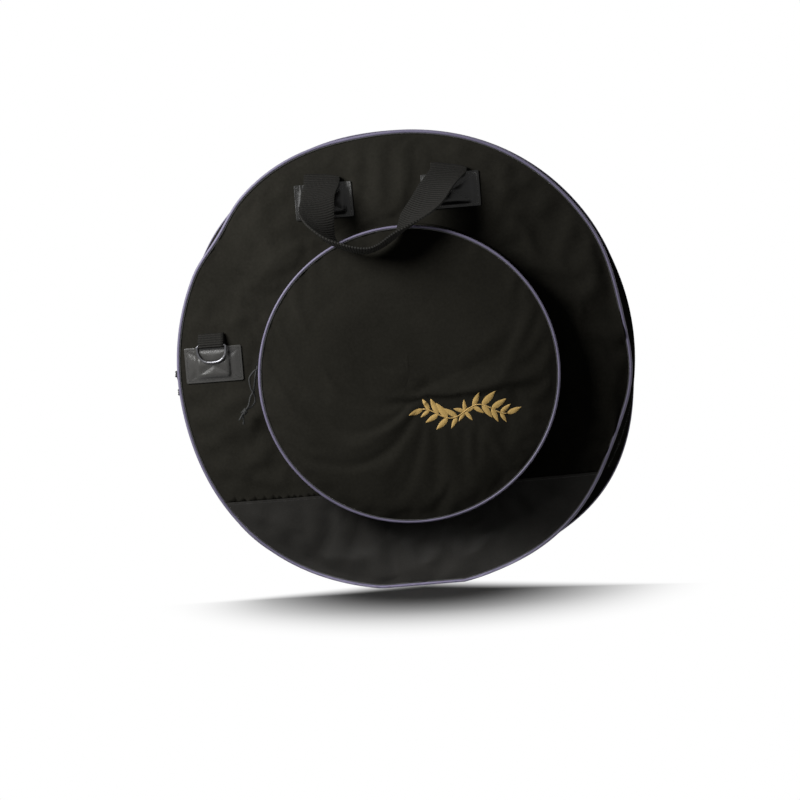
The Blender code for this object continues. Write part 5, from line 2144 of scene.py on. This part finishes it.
@dataclass
class Studio:
    """Pale floor, soft lights and the photograph's camera."""

    form: BagForm
    distance: float = 8.0
    azimuth: float = 3.0
    elevation: float = 3.0
    roll: float = -5.0
    lens: float = 254.4
    # Where the floor's painted white glow starts and ends round the bag, and how the glow's ellipse is
    # flattened and sheared.
    near: float = 0.11
    far: float = 0.42
    flatten: float = 0.54
    shear: float = 0.6
    ambient: float = 0.04

    def build(self) -> None:
        """Set up floor, world and lights."""
        bpy.context.scene.view_settings.view_transform = "Standard"
        self.build_floor()
        self.build_world()
        self.build_lights()

    def build_camera(self) -> None:
        """Camera at the photograph's viewing angle."""
        azimuth, elevation = math.radians(self.azimuth), math.radians(self.elevation)
        aim = Vector((0, -45 * MM, self.form.centre.z))
        level = math.cos(elevation)
        away = Vector((math.sin(azimuth) * level, -math.cos(azimuth) * level, math.sin(elevation)))
        data = bpy.data.cameras.new("camera")
        data.lens = self.lens
        data.sensor_width = 36
        data.shift_x = -5.7 / 800
        data.shift_y = -39.5 / 800
        camera = bpy.data.objects.new("camera", data)
        bpy.context.scene.collection.objects.link(camera)
        turn = (-away).to_track_quat("-Z", "Y").to_matrix().to_4x4()
        roll = Matrix.Rotation(math.radians(self.roll), 4, "Z")
        camera.matrix_world = Matrix.Translation(aim + away * self.distance) @ turn @ roll
        bpy.context.scene.camera = camera

    def build_floor(self) -> None:
        """A wide pale floor that keeps the bag's shadow near its foot and glows white beyond it; the glow,
        mixed in by place, is painted light that outlines the shadow.
        """
        bm = bmesh.new()
        bmesh.ops.create_grid(bm, x_segments=4, y_segments=4, size=30)
        recipe = Recipe("pale_floor")
        recipe.tree.nodes.remove(recipe.shader)
        path = recipe.node("ShaderNodeLightPath", {}, {})
        seen = recipe.value(path, "Is Camera Ray").top(recipe.value(path, "Is Glossy Ray"))
        seen = seen.top(recipe.value(path, "Is Transmission Ray"))
        left, depth, _ = recipe.split(recipe.place())
        # The white glow is mixed in by place: it fades the real shadow out at the rim of a flattened ellipse
        # round the bag's foot, sheared to look level under the rolled camera, and behind the bag. This is
        # painted light that gives the floor shadow its outline.
        level = (depth + left * self.shear) * self.flatten
        away = (left * left + level * level) ** 0.5
        rear = depth + abs(left) * 0.6 + left * 0.4
        ramp = {"interpolation_type": "SMOOTHSTEP"}
        far = recipe.value(recipe.node("ShaderNodeMapRange", ramp, {0: away, 1: self.near, 2: self.far}))
        far = far.top(recipe.value(recipe.node("ShaderNodeMapRange", ramp, {0: rear, 1: -0.09, 2: 0.05})))
        pale = recipe.blend(seen, (0.22, 0.22, 0.22), (0.88, 0.88, 0.88))
        diffuse = recipe.node("ShaderNodeBsdfDiffuse", {}, {"Color": pale})
        white = recipe.node("ShaderNodeEmission", {}, {"Strength": 1.0})
        shown = recipe.node("ShaderNodeMixShader", {}, {0: far * seen})
        for first, socket in ((diffuse, 1), (white, 2)):
            recipe.tree.links.new(first.outputs[0], shown.inputs[socket])
        output = recipe.tree.nodes["Material Output"]
        recipe.tree.links.new(shown.outputs[0], output.inputs["Surface"])
        floor = to_piece(bm, "floor", recipe.material)

    def build_world(self) -> None:
        """White where it is seen or mirrored, dimmer as light."""
        world = bpy.data.worlds.new("studio")
        world.use_nodes = True
        bpy.context.scene.world = world
        tree = world.node_tree
        path = tree.nodes.new("ShaderNodeLightPath")
        seen = path.outputs["Is Camera Ray"]
        for ray in ("Is Glossy Ray", "Is Transmission Ray"):
            either = tree.nodes.new("ShaderNodeMath")
            either.operation = "MAXIMUM"
            tree.links.new(seen, either.inputs[0])
            tree.links.new(path.outputs[ray], either.inputs[1])
            seen = either.outputs[0]
        strength = tree.nodes.new("ShaderNodeMapRange")
        strength.inputs["To Min"].default_value = self.ambient
        strength.inputs["To Max"].default_value = 1.0
        tree.links.new(seen, strength.inputs["Value"])
        background = tree.nodes["Background"]
        background.inputs["Color"].default_value = (1, 1, 1, 1)
        tree.links.new(strength.outputs["Result"], background.inputs["Strength"])

    def build_lights(self) -> None:
        """A soft key from the upper left, a weak fill, and a top lamp that alone lights the floor."""
        receivers = {}
        for state in ("EXCLUDE", "INCLUDE"):
            receivers[state] = bpy.data.collections.new(f"floor_{state.lower()}")
            receivers[state].objects.link(bpy.data.objects["floor"])
            receivers[state].collection_objects[0].light_linking.link_state = state
        middle, foot = self.form.centre, Vector((0, 0, 0.015))
        for name, place, target, size, tall, power, spread in (
            ("key", Vector((-1.12, -0.97, 1.17)), middle, 0.9, 0.8, 37, 180),
            ("fill", Vector((2.8, -2.2, 1.0)), middle, 2.0, 2.0, 0.6, 180),
            ("top", Vector((-0.4, 1.8, 2.3)), middle, 1.8, 1.8, 85, 180),
            ("bounce", Vector((-0.05, -0.5, 0.01)), foot, 0.4, 0.04, 0.055, 16),
        ):
            data = bpy.data.lights.new(name, "AREA")
            data.shape = "ELLIPSE"
            data.size = size
            data.size_y = tall
            data.energy = power
            data.spread = math.radians(spread)
            lamp = bpy.data.objects.new(name, data)
            lamp.visible_camera = False
            bpy.context.scene.collection.objects.link(lamp)
            turn = (target - place).to_track_quat("-Z", "Y").to_matrix().to_4x4()
            lamp.matrix_world = Matrix.Translation(place) @ turn
            lamp.light_linking.receiver_collection = receivers["INCLUDE" if name == "top" else "EXCLUDE"]


def build_bag(form: BagForm, pocket_form: PocketForm, finishes: Finishes) -> None:
    """Build every sub-assembly of the bag in order."""
    matrix = slider_frame(pocket_form.centre, pocket_form.zip_plane, pocket_form.bed, 172.5)
    ZipPull("pocket_slider", "pocket_pull", matrix, HANGING, finishes).build()
    for word, degrees in (("left", 172.2), ("right", 167.8)):
        matrix = slider_frame(form.centre, 0, form.bed, degrees)
        names = (f"main_slider_{word}", f"main_pull_{word}")
        ZipPull(*names, matrix, LYING, finishes, form.bed, word == "right").build()
    drapes = {Side.FRONT: Drape(FRONT_FOLDS, seed=1.0), Side.BACK: Drape(BACK_FOLDS, seed=3.0)}
    rings = {Side.FRONT: (-56.314 * MM, -0.17644), Side.BACK: (-56.096 * MM, -0.18232)}
    for side in Side:
        surface = HalfShell(side, form, finishes, drapes[side], pocket_form).build()
        Handle(side, surface, form, finishes).build()
        y, tilt = rings[side]
        place = Vector((-271 * MM, y, form.centre.z + 59 * MM))
        DRingTab(side, surface, form, finishes, place, tilt).build()
        Divider(side, form, finishes).build()
    drape = Drape(POCKET_FOLDS, uneven=0.9 * MM, pucker_count=34.0, seed=6.0)
    face = Pocket(pocket_form, finishes, drape).build()
    Sprig(face, finishes).build()
    Spine(form, finishes).build()


FRONT_FOLDS = (
    Fold((-43, 312), (-50, 225), 6, 2.6),
    Fold((-11, 309), (-17, 222), 6, 2.4),
    Fold((23, 306), (16, 218), 6, 2.6),
    Fold((55, 303), (49, 216), 6, 2.3),
    Fold((-75, 290), (-60, 240), 8, -1.0),
    Fold((-236, 215), (-206, 173), 6, 2.0),
    Fold((-252, 190), (-228, 150), 6, 1.5),
)
BACK_FOLDS = (
    Fold((-40, 300), (-20, 160), 12, 1.6),
    Fold((30, 295), (60, 120), 14, 1.5),
    Fold((-120, -60), (90, -110), 20, 1.6),
    Fold((-200, 60), (-60, -20), 18, -1.4),
)
POCKET_FOLDS = (
    Fold((60, -30), (205, -5), 14, 2.0),
    Fold((70, 10), (150, 60), 12, 1.6),
    Fold((-12, -80), (-60, -132), 10, -1.8),
    Fold((105, -98), (134, -146), 7, 1.8),
    Fold((80, -86), (76, -138), 7, 1.5),
)


def main() -> None:
    """Build the bag and its studio."""
    logging.basicConfig(level=logging.INFO, format="%(name)s: %(message)s")
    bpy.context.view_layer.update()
    form, pocket_form = BagForm(), PocketForm()
    studio = Studio(form)
    studio.build_camera()
    build_bag(form, pocket_form, Finishes())
    studio.build()


if __name__ == "__main__":
    main()
